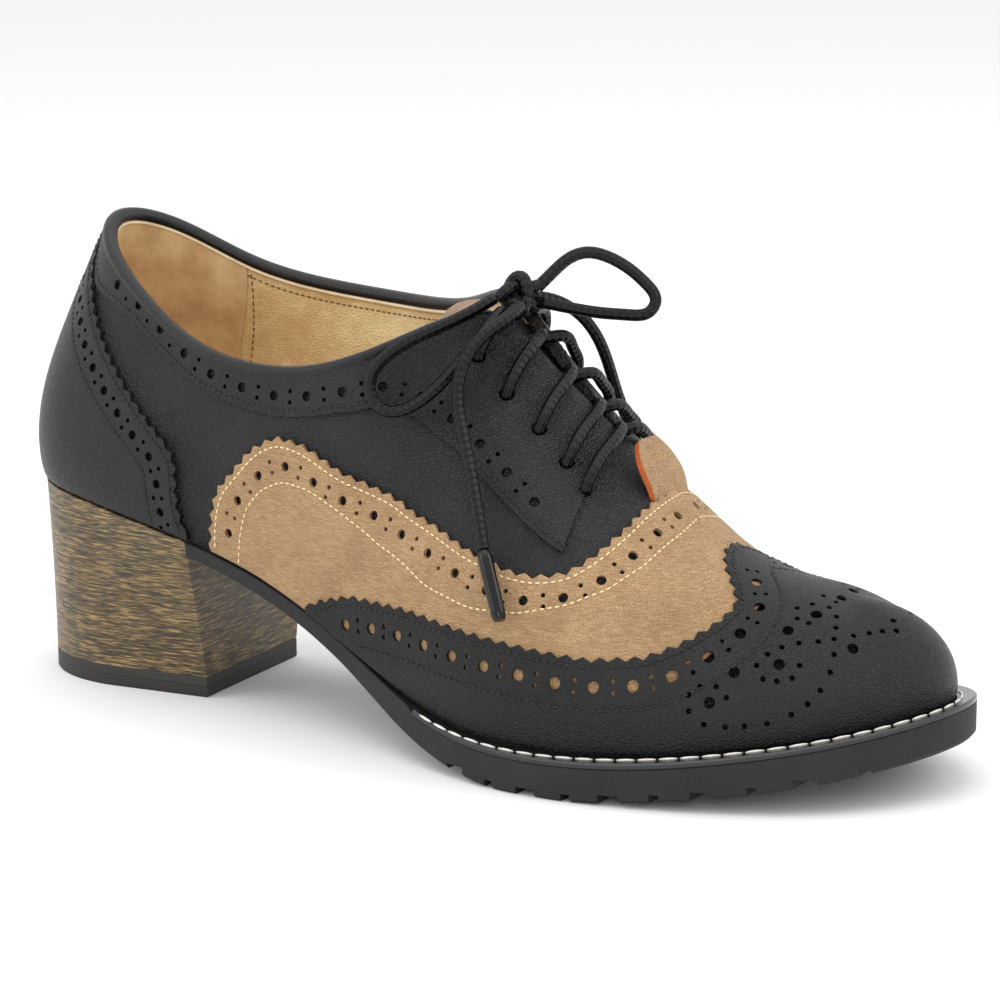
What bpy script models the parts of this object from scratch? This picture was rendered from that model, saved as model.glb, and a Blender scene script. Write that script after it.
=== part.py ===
"""A right-foot spectator shoe on a block heel: winged toe cap, tan vamp and a laced instep.

Metres, +Z up. +X runs to the toe, -Y to the outer side of the foot, and the origin is on the floor
under the middle of the heel. The whole upper comes from one surface of ribs, which rise from the
featherline, where upper and sole meet, to the top edge. Rib 0 is the back seam and rib TOE the toe.
The numbers go on round the inner side, so that rib u faces rib RIBS - u, and a share v from 0 to 1
climbs each rib. From rib THROAT forward the two sides meet along the crown.
"""

from collections import namedtuple
from math import cos, pi, radians, sin, tan

import bmesh
import bpy
import numpy as np
from mathutils import Matrix, Vector

# The last
LAST_LENGTH = 0.2328  # featherline, back seam to toe
BALL_WIDTH = 0.078  # featherline across the ball
QUARTER_RISE = 0.063  # back seam, featherline to collar
HEEL_SEAT_HEIGHT = 0.0496  # featherline above the floor at the back seam
TOE_SPRING = 0.0097
HEEL_MIDDLE = 0.0248  # from the back of the featherline to the middle of the heel

# Walls and clearances
GAP = 0.0003
OVERLAY_GAP = 0.0004  # between a curved overlay and the upper under it
WALL = 0.0017  # leather and lining
VAMP_THICKNESS = 0.0010
CAP_THICKNESS = 0.0016
COUNTER_THICKNESS = 0.0012
EYESTAY_THICKNESS = 0.0007
TAB_THICKNESS = 0.0014
TONGUE_THICKNESS = 0.0020
INSOLE_THICKNESS = 0.0030

# The sole and the heel
SOLE_THICKNESS = 0.0090  # at the ball, lugs included
SOLE_UNDERCUT = 0.0008
TREAD_FLAT = 0.0003  # how much the floor levels the round forefoot
WELT_WIDTH = 0.0065
WELT_THICKNESS = 0.0012
GROOVE_DEPTH = 0.0018
GROOVE_PITCH = 0.00965
WIDE_GROOVE = 0.0046
NARROW_GROOVE = 0.0020
FIRST_GROOVE = 0.1152  # from the origin
HEEL_LENGTH = 0.054
HEEL_WIDTH = 0.042  # across the breast, at the floor
HEEL_SWELL = 0.0010  # how much wider each side is before the back curve
HEEL_BACK = 0.027  # length of the back curve
HEEL_YAW = radians(5.0)
LIFT_THICKNESS = 0.0050

# The lacing
LACE_DIAMETER = 0.0028
EYELET_DIAMETER = 0.0036
LACE_LIFT = 0.0034  # of a crossing's middle line, over the base of the facing
KNOT_SIZE = Vector((0.0086, 0.0116, 0.0072))
AGLET_DIAMETER = 0.0033

# Fineness of the meshes
RIB_STEPS = 3  # columns between two ribs
UPPER_STEPS = 10  # faces up a rib
HEEL_STEPS = 25  # faces round the heel
WELT_STARTS = 6 + 1 / RIB_STEPS  # the rib where the welt begins, on both sides
PROBE = 0.001  # step of the finite differences, in ribs and in shares of a rib

Rib = namedtuple("Rib", "foot_x foot_y top_x top_y rise low_out low_rise high_out high_drop welt")
# foot_x and top_x are shares of LAST_LENGTH from the back of the featherline. foot_y, top_y, low_out and
# high_out are shares of BALL_WIDTH, rise is one of QUARTER_RISE, and welt is one of WELT_WIDTH. low_rise
# and high_drop are shares of the rib's own rise. The two out columns swell the rib, low and high.
OUTER_RIBS = (
    Rib(0.000, 0.000, 0.066, 0.000, 1.000, 0.083, 0.30, 0.141, 0.35, 0.00),
    Rib(0.026, 0.247, 0.096, 0.173, 0.922, 0.077, 0.33, 0.090, 0.35, 0.00),
    Rib(0.095, 0.346, 0.162, 0.276, 0.797, 0.064, 0.35, 0.038, 0.35, 0.00),
    Rib(0.197, 0.359, 0.253, 0.333, 0.705, 0.038, 0.35, 0.026, 0.35, 0.15),
    Rib(0.317, 0.359, 0.356, 0.346, 0.781, 0.038, 0.35, 0.038, 0.35, 0.15),
    Rib(0.424, 0.397, 0.454, 0.301, 1.044, 0.038, 0.38, 0.103, 0.30, 0.05),
    Rib(0.515, 0.459, 0.532, 0.103, 1.310, 0.038, 0.40, 0.218, 0.20, 0.35),
    Rib(0.605, 0.522, 0.596, 0.045, 1.230, 0.038, 0.42, 0.282, 0.12, 0.60),
    Rib(0.691, 0.528, 0.682, 0.000, 0.945, 0.026, 0.45, 0.308, 0.06, 0.82),
    Rib(0.779, 0.472, 0.755, -0.013, 0.678, 0.013, 0.50, 0.295, 0.02, 0.95),
    Rib(0.862, 0.378, 0.824, -0.038, 0.486, 0.013, 0.52, 0.256, 0.00, 1.00),
    Rib(0.933, 0.254, 0.875, -0.051, 0.400, 0.019, 0.54, 0.218, 0.00, 1.00),
    Rib(0.983, 0.083, 0.906, -0.051, 0.335, 0.026, 0.55, 0.179, 0.00, 1.00),
    Rib(1.000, -0.058, 0.918, -0.051, 0.316, 0.026, 0.55, 0.154, 0.00, 1.00),
)
INNER_RIBS = (
    Rib(0.026, 0.247, 0.096, 0.186, 0.946, 0.077, 0.33, 0.090, 0.35, 0.00),
    Rib(0.095, 0.346, 0.162, 0.308, 0.837, 0.064, 0.35, 0.038, 0.35, 0.00),
    Rib(0.197, 0.346, 0.253, 0.346, 0.840, 0.026, 0.35, 0.038, 0.35, 0.05),
    Rib(0.317, 0.301, 0.356, 0.327, 0.937, 0.013, 0.35, 0.051, 0.35, 0.10),
    Rib(0.424, 0.288, 0.454, 0.218, 1.138, 0.013, 0.38, 0.103, 0.30, 0.40),
    Rib(0.510, 0.340, 0.532, 0.090, 1.338, 0.013, 0.40, 0.205, 0.20, 0.85),
    Rib(0.605, 0.427, 0.596, 0.045, 1.230, 0.026, 0.42, 0.269, 0.12, 0.80),
    Rib(0.691, 0.471, 0.682, 0.000, 0.945, 0.026, 0.45, 0.244, 0.06, 0.90),
    Rib(0.779, 0.472, 0.755, 0.013, 0.678, 0.013, 0.50, 0.218, 0.02, 0.95),
    Rib(0.871, 0.414, 0.824, 0.038, 0.486, 0.013, 0.52, 0.205, 0.00, 1.00),
    Rib(0.946, 0.315, 0.875, 0.051, 0.400, 0.013, 0.54, 0.192, 0.00, 1.00),
    Rib(0.989, 0.186, 0.906, 0.051, 0.335, 0.026, 0.55, 0.179, 0.00, 1.00),
)
TOE = len(OUTER_RIBS) - 1
RIBS = 2 * TOE
THROAT = 8
CROWN_BLEND = (8.3, 9.0, 11.5, 12.5), (0.0, 1.0, 1.0, 0.0)  # ribs, and how far they follow the crown's slope
CROWN_END_RUN = 0.0008  # keeps that slope finite where the crown ends

Profile = namedtuple("Profile", "along heel toe sole")
# along is a share of LAST_LENGTH from the back of the featherline. The featherline stands SOLE_THICKNESS
# over the floor, plus heel as a share of the heel's own rise and toe as one of TOE_SPRING. sole is the
# outsole's thickness there, as a share of SOLE_THICKNESS.
PROFILE = (
    Profile(-0.104, 1.035, 0.00, 0.34),
    Profile(0.000, 1.000, 0.00, 0.34),
    Profile(0.076, 0.948, 0.00, 0.34),
    Profile(0.188, 0.825, 0.00, 0.34),
    Profile(0.317, 0.628, 0.00, 0.41),
    Profile(0.424, 0.369, 0.00, 0.56),
    Profile(0.515, 0.148, 0.00, 0.76),
    Profile(0.605, 0.025, 0.00, 0.93),
    Profile(0.691, 0.000, 0.00, 1.00),
    Profile(0.779, 0.000, 0.10, 0.96),
    Profile(0.862, 0.000, 0.35, 0.96),
    Profile(0.933, 0.000, 0.65, 0.96),
    Profile(1.000, 0.000, 1.00, 0.96),
    Profile(1.050, 0.000, 1.33, 0.96),
)

Edge = namedtuple("Edge", "rib share")
# Where the overlays end: the share of each rib that the edge crosses. The inner side mirrors the outer.
COUNTER_EDGE = (
    Edge(0.00, 0.995),
    Edge(0.25, 0.985),
    Edge(0.55, 0.92),
    Edge(1.08, 0.82),
    Edge(1.65, 0.71),
    Edge(2.40, 0.58),
    Edge(2.98, 0.46),
    Edge(3.12, 0.38),
    Edge(3.20, 0.22),
    Edge(3.28, 0.10),
    Edge(3.34, 0.04),
)
CAP_EDGE = (
    Edge(4.68, 0.04),
    Edge(4.90, 0.105),
    Edge(5.30, 0.17),
    Edge(6.15, 0.205),
    Edge(7.15, 0.235),
    Edge(7.85, 0.26),
    Edge(8.40, 0.28),
    Edge(8.95, 0.34),
    Edge(9.30, 0.43),
    Edge(9.60, 0.565),
    Edge(9.75, 0.69),
)
VAMP_EDGE = (
    Edge(3.58, 0.36),
    Edge(3.65, 0.42),
    Edge(3.80, 0.60),
    Edge(4.05, 0.695),
    Edge(4.40, 0.675),
    Edge(4.72, 0.61),
    Edge(5.00, 0.55),
    Edge(5.50, 0.48),
    Edge(6.10, 0.42),
    Edge(6.90, 0.405),
    Edge(7.40, 0.41),
    Edge(7.70, 0.43),
    Edge(8.00, 0.48),
    Edge(8.20, 0.53),
    Edge(8.35, 0.60),
    Edge(8.50, 0.68),
    Edge(8.60, 0.76),
    Edge(8.70, 0.85),
    Edge(8.78, 1.00),
    Edge(9.33, 1.00),
    Edge(9.36, 0.92),
    Edge(9.42, 0.83),
    Edge(9.58, 0.75),
    Edge(9.70, 0.68),
)
EYESTAY_EDGE = (
    Edge(0.34, 0.84),
    Edge(1.15, 0.84),
    Edge(1.95, 0.87),
    Edge(2.50, 0.85),
    Edge(3.10, 0.805),
    Edge(3.90, 0.79),
    Edge(4.70, 0.80),
    Edge(5.30, 0.76),
    Edge(5.65, 0.69),
    Edge(6.10, 0.62),
    Edge(6.60, 0.60),
    Edge(7.00, 0.58),
    Edge(7.40, 0.55),
    Edge(7.72, 0.53),
    Edge(7.90, 0.53),
)
Peak = namedtuple("Peak", "foot lean_from rib share")
# The cap's peak reaches back over the instep, so its columns go up rib foot to the share lean_from and
# then lean to the edge.
CAP_PEAK = (
    Peak(8.45, 0.00, 8.65, 0.305),
    Peak(8.62, 0.00, 8.95, 0.34),
    Peak(8.76, 0.00, 9.12, 0.38),
    Peak(8.90, 0.00, 9.30, 0.43),
    Peak(9.03, 0.00, 9.45, 0.49),
    Peak(9.16, 0.00, 9.60, 0.565),
    Peak(9.35, 0.00, 9.75, 0.69),
    Peak(9.60, 0.00, 9.77, 0.70),
    Peak(9.80, 0.69, 9.62, 0.77),
    Peak(9.86, 0.74, 9.45, 0.85),
    Peak(9.92, 0.80, 9.37, 0.94),
    Peak(9.98, 0.86, 9.40, 1.00),
    Peak(10.04, 0.90, 9.70, 1.00),
)
OVERLAY_FOOT = 0.02  # overlays start at this share, just over the sole
EDGE_GAP = 0.012  # share between the edges of two overlays, on top of which they meet the same base

Eyelet = namedtuple("Eyelet", "rib share middle")
# middle is the lace's lift half way across, as a share of LACE_LIFT
EYELETS = (
    Eyelet(6.35, 0.85, 0.00),
    Eyelet(6.90, 0.81, 0.88),
    Eyelet(7.32, 0.79, 0.95),
    Eyelet(7.65, 0.76, 1.00),
    Eyelet(7.88, 0.73, 1.00),
)

TongueRow = namedtuple("TongueRow", "rib share back up inward width")
# The tongue follows the inside of the facings from rib to rib and share to centre. Its free end is the
# section of the first rib moved by back, up and inward, in shares of BALL_WIDTH, and narrowed by width.
TONGUE = (
    TongueRow(6.25, 0.76, 0.230, 0.000, 0.070, 0.45),
    TongueRow(6.25, 0.76, 0.160, 0.020, 0.050, 0.70),
    TongueRow(6.25, 0.76, 0.080, 0.020, 0.020, 0.86),
    TongueRow(6.25, 0.76, 0.000, 0.000, 0.000, 1.00),
    TongueRow(6.70, 0.74, 0.000, 0.000, 0.000, 1.00),
    TongueRow(7.20, 0.72, 0.000, 0.000, 0.000, 1.00),
    TongueRow(7.70, 0.72, 0.000, 0.000, 0.000, 1.00),
    TongueRow(8.20, 0.74, 0.000, 0.000, 0.000, 1.00),
    TongueRow(8.60, 0.78, 0.000, 0.000, 0.000, 1.00),
)
TONGUE_STEPS = 4  # faces from each edge to the middle

TabRow = namedtuple("TabRow", "rib lift half_width")
# The tab over the foot of the lacing; lift and half_width are shares of BALL_WIDTH
TAB = (
    TabRow(8.68, 0.008, 0.100),
    TabRow(8.50, 0.024, 0.100),
    TabRow(8.32, 0.052, 0.098),
    TabRow(8.18, 0.080, 0.082),
    TabRow(8.08, 0.100, 0.048),
)
TAB_STEPS = 4

# The lace's free routes, in millimetres from the origin, chosen by hand
MILLIMETRE = 0.001
KNOT_PLACE = (104.9, -2.0, 101.3)
LACE_ROUTES = {
    "lace_loop_outer": (
        (102.6, -7.6, 101.0),
        (99.6, -13.6, 98.2),
        (95.0, -18.6, 95.4),
        (90.1, -22.8, 92.6),
        (86.3, -25.8, 89.6),
        (83.9, -28.8, 85.6),
        (84.4, -30.2, 81.0),
        (88.6, -30.2, 77.8),
        (94.4, -28.2, 79.2),
        (99.0, -25.2, 83.4),
        (102.6, -20.8, 89.0),
        (105.0, -14.6, 95.0),
        (105.4, -8.6, 98.6),
    ),
    "lace_end_outer": (
        (108.6, -6.3, 99.9),
        (109.2, -12.4, 98.0),
        (106.4, -19.4, 93.8),
        (104.8, -24.6, 87.4),
        (105.6, -27.4, 80.4),
        (108.2, -29.4, 74.4),
        (111.2, -31.6, 68.2),
        (115.8, -35.4, 58.6),
        (119.0, -38.2, 51.4),
    ),
    "lace_loop_inner": (
        (107.9, 2.6, 102.6),
        (110.6, 5.4, 106.2),
        (113.4, 8.2, 109.2),
        (116.2, 10.4, 110.2),
        (119.6, 12.8, 109.4),
        (123.6, 15.6, 106.8),
        (127.6, 17.6, 103.0),
        (129.8, 18.2, 99.2),
        (128.6, 17.4, 96.6),
        (124.4, 15.2, 95.9),
        (118.8, 12.0, 96.4),
        (112.8, 7.4, 97.8),
        (108.9, 3.2, 99.2),
    ),
    "lace_end_inner": (
        (105.6, 4.2, 100.2),
        (108.4, 8.8, 99.0),
        (112.2, 12.6, 96.0),
        (115.0, 16.4, 90.6),
        (116.0, 20.0, 84.0),
        (116.2, 24.4, 75.6),
        (117.0, 29.2, 66.8),
        (118.4, 33.4, 58.2),
    ),
}
AGLET_ENDS = {
    "aglet_outer": ((119.2, -38.4, 50.9), (126.2, -43.0, 37.4)),
    "aglet_inner": ((118.5, 33.7, 57.7), (121.6, 39.8, 43.4)),
}

# colour, roughness and metallic value
LOOKS = {
    "black_leather": ((0.030, 0.032, 0.036), 0.45, 0.0),
    "tan_leather": ((0.55, 0.36, 0.20), 0.55, 0.0),
    "lining_leather": ((0.60, 0.38, 0.16), 0.60, 0.0),
    "black_rubber": ((0.040, 0.040, 0.038), 0.70, 0.0),
    "black_welt": ((0.012, 0.012, 0.013), 0.25, 0.0),
    "stacked_heel": ((0.16, 0.11, 0.06), 0.55, 0.0),
    "waxed_cord": ((0.015, 0.015, 0.016), 0.50, 0.0),
    "aglet_plastic": ((0.010, 0.010, 0.010), 0.15, 0.0),
}


def spline(knots, values):
    """The smooth curve through values at knots, as a function of places along the knots."""
    x = np.asarray(knots, float)
    y = np.asarray(values, float).reshape(len(x), -1)
    span = np.diff(x)
    system = np.eye(len(x))
    turn = np.zeros_like(y)
    for i in range(1, len(x) - 1):
        system[i, i - 1 : i + 2] = span[i - 1], 2 * (span[i - 1] + span[i]), span[i]
        turn[i] = 6 * ((y[i + 1] - y[i]) / span[i] - (y[i] - y[i - 1]) / span[i - 1])
    bend = np.linalg.solve(system, turn)

    def at(places):
        t = np.atleast_1d(np.asarray(places, float))
        i = np.clip(np.searchsorted(x, t, side="right") - 1, 0, len(x) - 2)
        w = span[i][:, None]
        s = (t - x[i])[:, None]
        r = w - s
        cubic = (bend[i] * r**3 + bend[i + 1] * s**3) / (6 * w)
        return cubic + (y[i] / w - bend[i] * w / 6) * r + (y[i + 1] / w - bend[i + 1] * w / 6) * s

    return at


def rib_curve():
    """All ribs in one ring: outer side to the toe and inner side back, with some rows repeated past each end."""
    outer = [list(rib) for rib in OUTER_RIBS]
    inner = [list(rib) for rib in INNER_RIBS]
    for rib in outer:
        rib[1], rib[3] = -rib[1], -rib[3]
    ring = outer + inner[::-1]
    overlap = 4
    rows = ring[-overlap:] + ring + ring[: overlap + 1]
    return spline(range(-overlap, RIBS + overlap + 1), rows)


rib_at = rib_curve()
heights_at = spline([row.along for row in PROFILE], [row[1:] for row in PROFILE])


def feather_height(x):
    """Height of the featherline over the floor, at x from the origin."""
    share = (np.atleast_1d(x) + HEEL_MIDDLE) / LAST_LENGTH
    heel, toe = heights_at(share)[:, :2].T
    return SOLE_THICKNESS + heel * (HEEL_SEAT_HEIGHT - SOLE_THICKNESS) + toe * TOE_SPRING


def ground_height(x):
    """Height of the outsole's lower face, with its flat spot on the floor."""
    share = (np.atleast_1d(x) + HEEL_MIDDLE) / LAST_LENGTH
    depth = heights_at(share)[:, 2] * SOLE_THICKNESS + TREAD_FLAT
    return np.maximum(feather_height(x) - depth, 0.0)


def foot_line(u, outset=0.0):
    """Points of the featherline in plan at ribs u, moved outward by outset, and the outward directions."""
    u = np.atleast_1d(np.asarray(u, float)) % RIBS
    scale = np.array([LAST_LENGTH, BALL_WIDTH])
    place = rib_at(u)[:, :2] * scale - [HEEL_MIDDLE, 0.0]
    along = (rib_at(u + PROBE)[:, :2] - rib_at(u - PROBE)[:, :2]) * scale
    along /= np.linalg.norm(along, axis=1)[:, None]
    out = np.column_stack([along[:, 1], -along[:, 0]])
    return place + out * np.reshape(outset, (-1, 1)), out


def welt_margin(u):
    """How far the outsole stands out from the featherline."""
    return rib_at(np.atleast_1d(u) % RIBS)[:, 9] * WELT_WIDTH


def welt_line(u):
    """The outsole's outline in plan."""
    return foot_line(u, welt_margin(u))[0]


def top_edge(u):
    """Points of the top edge: the collar, the facings and then the crown, which both sides share."""
    u = np.asarray(u, float) % RIBS
    rib, mirrored = rib_at(u)[:, 2:5], rib_at(RIBS - u)[:, 2:5]
    foot, facing = (feather_height(foot_line(place)[0][:, 0]) for place in (u, -u))
    crown = np.minimum(u, RIBS - u) >= THROAT
    shape = np.where(crown[:, None], (rib + mirrored) / 2, rib)
    height = np.where(crown, (foot + facing) / 2, foot) + shape[:, 2] * QUARTER_RISE
    return np.column_stack([shape[:, 0] * LAST_LENGTH - HEEL_MIDDLE, shape[:, 1] * BALL_WIDTH, height])


def crown_lift(u, swell):
    """Height that keeps the ribs' upper ends level with the crown's slope, so that the sides meet smoothly."""
    step = top_edge(u + PROBE) - top_edge(u - PROBE)
    run = np.sum(step[:, :2] ** 2, axis=1) + (2 * PROBE * CROWN_END_RUN) ** 2
    share = np.interp(np.minimum(u, RIBS - u), *CROWN_BLEND)
    return np.sum(swell * step[:, :2], axis=1) / run * step[:, 2] * share


def bare_surface(u, v):
    """Points of the upper's outer face at ribs u and shares v."""
    u = np.asarray(u, float) % RIBS
    v = np.asarray(v, float)[:, None]
    rib = rib_at(u)
    plan, out = foot_line(u)
    foot = np.column_stack([plan, feather_height(plan[:, 0])])
    top = top_edge(u)
    rise = top[:, 2] - foot[:, 2]
    swell = out * rib[:, 7:8] * BALL_WIDTH
    low = foot + np.column_stack([out * rib[:, 5:6] * BALL_WIDTH, rise * rib[:, 6]])
    high = top + np.column_stack([swell, crown_lift(u, swell) - rise * rib[:, 8]])
    return (1 - v) ** 3 * foot + 3 * (1 - v) ** 2 * v * low + 3 * (1 - v) * v**2 * high + v**3 * top


def surface_normal(u, v):
    """Outward unit normals; along the crown both sides share one."""
    v = np.clip(v, PROBE, 0.98)
    across = bare_surface(u + PROBE, v) - bare_surface(u - PROBE, v)
    upward = bare_surface(u, v + PROBE) - bare_surface(u, v - PROBE)
    normal = np.cross(across, upward)
    return normal / np.linalg.norm(normal, axis=1)[:, None]


def surface(u, v, offset=0.0):
    """Points at offset outside the upper's outer face; a negative offset goes inside."""
    u = np.atleast_1d(np.asarray(u, float)) % RIBS
    v = np.broadcast_to(np.asarray(v, float), u.shape)
    normal = surface_normal(u, v)
    ridge = (v > 1 - PROBE) & (np.minimum(u, RIBS - u) >= THROAT)
    both = normal + surface_normal(-u % RIBS, v)
    both /= np.linalg.norm(both, axis=1)[:, None]
    return bare_surface(u, v) + np.where(ridge[:, None], both, normal) * offset


def make_material(name):
    colour, roughness, metallic = LOOKS[name]
    material = bpy.data.materials.get(name) or bpy.data.materials.new(name)
    material.use_nodes = True
    shader = material.node_tree.nodes["Principled BSDF"]
    shader.inputs["Base Color"].default_value = (*colour, 1.0)
    shader.inputs["Roughness"].default_value = roughness
    shader.inputs["Metallic"].default_value = metallic
    material.diffuse_color = (*colour, 1.0)
    return material


def add_solid(name, points, faces, look):
    """A mesh object with doubled points made one and its faces turned outward."""
    mesh = bpy.data.meshes.new(name)
    mesh.from_pydata([tuple(map(float, point)) for point in points], [], faces)
    bm = bmesh.new()
    bm.from_mesh(mesh)
    bmesh.ops.remove_doubles(bm, verts=bm.verts, dist=GAP / 100)
    bmesh.ops.recalc_face_normals(bm, faces=bm.faces)
    bm.to_mesh(mesh)
    bm.free()
    mesh.materials.append(make_material(look))
    mesh.shade_smooth()
    mesh.set_sharp_from_angle(angle=radians(40))
    obj = bpy.data.objects.new(name, mesh)
    bpy.context.collection.objects.link(obj)
    return obj


def cut(obj, cutter, operation="DIFFERENCE"):
    """Combine obj with cutter, which then stays in the file as a guide only."""
    boolean = obj.modifiers.new(cutter.name, "BOOLEAN")
    boolean.operation = operation
    boolean.object = cutter
    cutter.hide_render = True
    cutter.display_type = "WIRE"


def sheet_faces(ribs, shares, start, count, ring):
    """Points' faces for sheet(): outside, inside and rims, with none along the crown."""
    columns, rows = ribs.shape
    on_crown = (shares[:, -1] > 1 - PROBE) & (np.minimum(ribs[:, -1], RIBS - ribs[:, -1]) >= THROAT)
    faces = []
    for i in range(columns if ring else columns - 1):
        k = (i + 1) % columns
        for j in range(rows - 1):
            quad = (i * rows + j, k * rows + j, k * rows + j + 1, i * rows + j + 1)
            faces.append(quad)
            faces.append(tuple(count + corner for corner in reversed(quad)))
        faces.append((i * rows, count + i * rows, count + k * rows, k * rows))
        if not (on_crown[i] and on_crown[k]):
            top, next_top = i * rows + rows - 1, k * rows + rows - 1
            faces.append((top, next_top, count + next_top, count + top))
    for i in () if ring else (0, columns - 1):
        for j in range(rows - 1):
            low, high = i * rows + j, i * rows + j + 1
            faces.append((low, high, count + high, count + low))
    return [tuple(start + corner for corner in face) for face in faces]


def sheet(name, ribs, shares, inside, outside, look, ring=False):
    """A solid between two offsets of the upper's surface, over a grid of ribs and shares.

    Each row of the grid is a column up the upper. Where the columns end on the crown the two sides
    meet, so no rim is made there. A ring joins its last column to its first.
    """
    return two_sided_sheet(name, [(ribs, shares)], inside, outside, look, ring)


def two_sided_sheet(name, sides, inside, outside, look, ring=False):
    """sheet() over one or two grids, which are joined where both end on the crown."""
    points, faces = [], []
    for ribs, shares in sides:
        count = ribs.size
        faces += sheet_faces(ribs, shares, sum(map(len, points)), count, ring)
        for depth in (outside, inside):
            points.append(surface(ribs.ravel(), shares.ravel(), depth))
    return add_solid(name, np.vstack(points), faces, look)


def shares_up():
    """The shares at which every sheet of the upper has a row, so that its facets lie on the base's."""
    return np.linspace(0, 1, UPPER_STEPS + 1)


def edge_share(edge, ribs):
    return np.interp(ribs, [row.rib for row in edge], [row.share for row in edge])


def base_ribs(first, last, *extra):
    """The base's own ribs between first and last, with both ends and any extra ones."""
    steps = np.arange(RIBS * RIB_STEPS) / RIB_STEPS
    margin = 0.2 / RIB_STEPS
    inside = steps[(steps > first + margin) & (steps < last - margin)]
    return np.unique(np.concatenate([[first], inside, [last], extra]))


def columns_between(ribs, low, high):
    """A grid of ribs and shares: each column keeps the base's rows that lie between low and high."""
    ribs, low, high = (np.reshape(column, (-1, 1)) for column in (ribs, low, high))
    shares = np.clip(shares_up()[None, :], low, high)
    return ribs + 0 * shares, shares


def both_sides(ribs, shares):
    """The outer side's columns carried on over the crown or the toe to the inner side."""
    return np.vstack([ribs, RIBS - ribs[-2::-1]]), np.vstack([shares, shares[-2::-1]])


def make_upper():
    """The hollow shell: one wall from the featherline to the collar, open at the top, the lacing and below."""
    ribs = np.arange(RIBS * RIB_STEPS) / RIB_STEPS
    grid = np.meshgrid(ribs, shares_up(), indexing="ij")
    upper = sheet("upper", *grid, -WALL, 0.0, "black_leather", ring=True)
    punch_eyelets(upper, (-1, 1))
    return upper


def punch_eyelets(obj, sides):
    """Round holes through the facings, square to the leather; side 1 is the outer one."""
    bm = bmesh.new()
    for side in sides:
        for eyelet in EYELETS:
            rib = eyelet.rib * side % RIBS
            low, high = (surface(rib, eyelet.share, depth)[0] for depth in (-2 * WALL, 2 * WALL))
            axis = Vector(high - low)
            turn = Vector((0, 0, 1)).rotation_difference(axis).to_matrix().to_4x4()
            bmesh.ops.create_cone(
                bm,
                cap_ends=True,
                segments=10,
                radius1=EYELET_DIAMETER / 2,
                radius2=EYELET_DIAMETER / 2,
                depth=axis.length,
                matrix=Matrix.Translation(Vector((low + high) / 2)) @ turn,
            )
    mesh = bpy.data.meshes.new(obj.name + "_punch")
    bm.to_mesh(mesh)
    bm.free()
    punch = bpy.data.objects.new(mesh.name, mesh)
    bpy.context.collection.objects.link(punch)
    cut(obj, punch)


def make_vamp():
    """The tan vamp with its two wings, between the cap's edge and its own."""
    past_throat = [row.rib for row in VAMP_EDGE[:-1] if row.rib > THROAT + 1.2 / RIB_STEPS]
    along_cap = [row.rib for row in CAP_EDGE[:-1]]
    wing_tip = CAP_EDGE[0].rib - EDGE_GAP
    ribs = base_ribs(VAMP_EDGE[0].rib, VAMP_EDGE[-1].rib, wing_tip, *past_throat, *along_cap)
    low = edge_share(CAP_EDGE, ribs) + EDGE_GAP
    low[ribs < CAP_EDGE[0].rib - EDGE_GAP / 2] = OVERLAY_FOOT
    low[ribs > THROAT + 1] += EDGE_GAP / 2
    ribs, shares = columns_between(ribs, low, np.maximum(edge_share(VAMP_EDGE, ribs), low + EDGE_GAP))
    sides = [(ribs, shares), (RIBS - ribs, shares)]
    return two_sided_sheet("vamp", sides, OVERLAY_GAP, OVERLAY_GAP + VAMP_THICKNESS, "tan_leather")


def make_toe_cap():
    """The winged cap, from the featherline to its edge and, round the toe, to the crown."""
    wing_end = THROAT + 1 / RIB_STEPS
    wing = base_ribs(CAP_EDGE[0].rib, wing_end, *(row.rib for row in CAP_EDGE if row.rib < wing_end))
    foot, lean_from, edge_rib, edge = np.array(CAP_PEAK).T
    toe = base_ribs(TOE - 3 + 1 / RIB_STEPS, TOE)
    feet = np.concatenate([wing, foot, toe])
    high = np.concatenate([edge_share(CAP_EDGE, wing), edge, np.ones(len(toe))])
    ribs, shares = columns_between(feet, np.full(len(feet), OVERLAY_FOOT), high)
    peak = slice(len(wing), len(wing) + len(foot))
    lean = (shares[peak] - lean_from[:, None]) / (edge - lean_from)[:, None]
    ribs[peak] += np.clip(lean, 0, 1) * (edge_rib - foot)[:, None]
    depths = OVERLAY_GAP, OVERLAY_GAP + CAP_THICKNESS
    return sheet("toe_cap", *both_sides(ribs, shares), *depths, "black_leather")


def make_counter():
    """The counter round the back, between its two curved front edges."""
    front_edge = [row.rib for row in COUNTER_EDGE if row.rib > 3]
    ribs = base_ribs(0, COUNTER_EDGE[-1].rib, *front_edge)
    ribs = np.concatenate([-ribs[:0:-1], ribs])
    high = edge_share(COUNTER_EDGE, np.abs(ribs))
    grid = columns_between(ribs, np.full(len(ribs), OVERLAY_FOOT), high)
    return sheet("heel_counter", *grid, OVERLAY_GAP, OVERLAY_GAP + COUNTER_THICKNESS, "black_leather")


def make_eyestay(name, side):
    """The band along the topline that widens into the facing; side 1 is the outer one."""
    ribs = base_ribs(EYESTAY_EDGE[0].rib, EYESTAY_EDGE[-1].rib)
    low = np.maximum(edge_share(EYESTAY_EDGE, ribs), edge_share(COUNTER_EDGE, ribs) + EDGE_GAP)
    grid = columns_between(ribs, np.minimum(low, 1 - EDGE_GAP), np.ones(len(ribs)))
    depths = OVERLAY_GAP, OVERLAY_GAP + EYESTAY_THICKNESS
    band = sheet(name, grid[0] * side % RIBS, grid[1], *depths, "black_leather")
    punch_eyelets(band, (side,))
    return band


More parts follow.
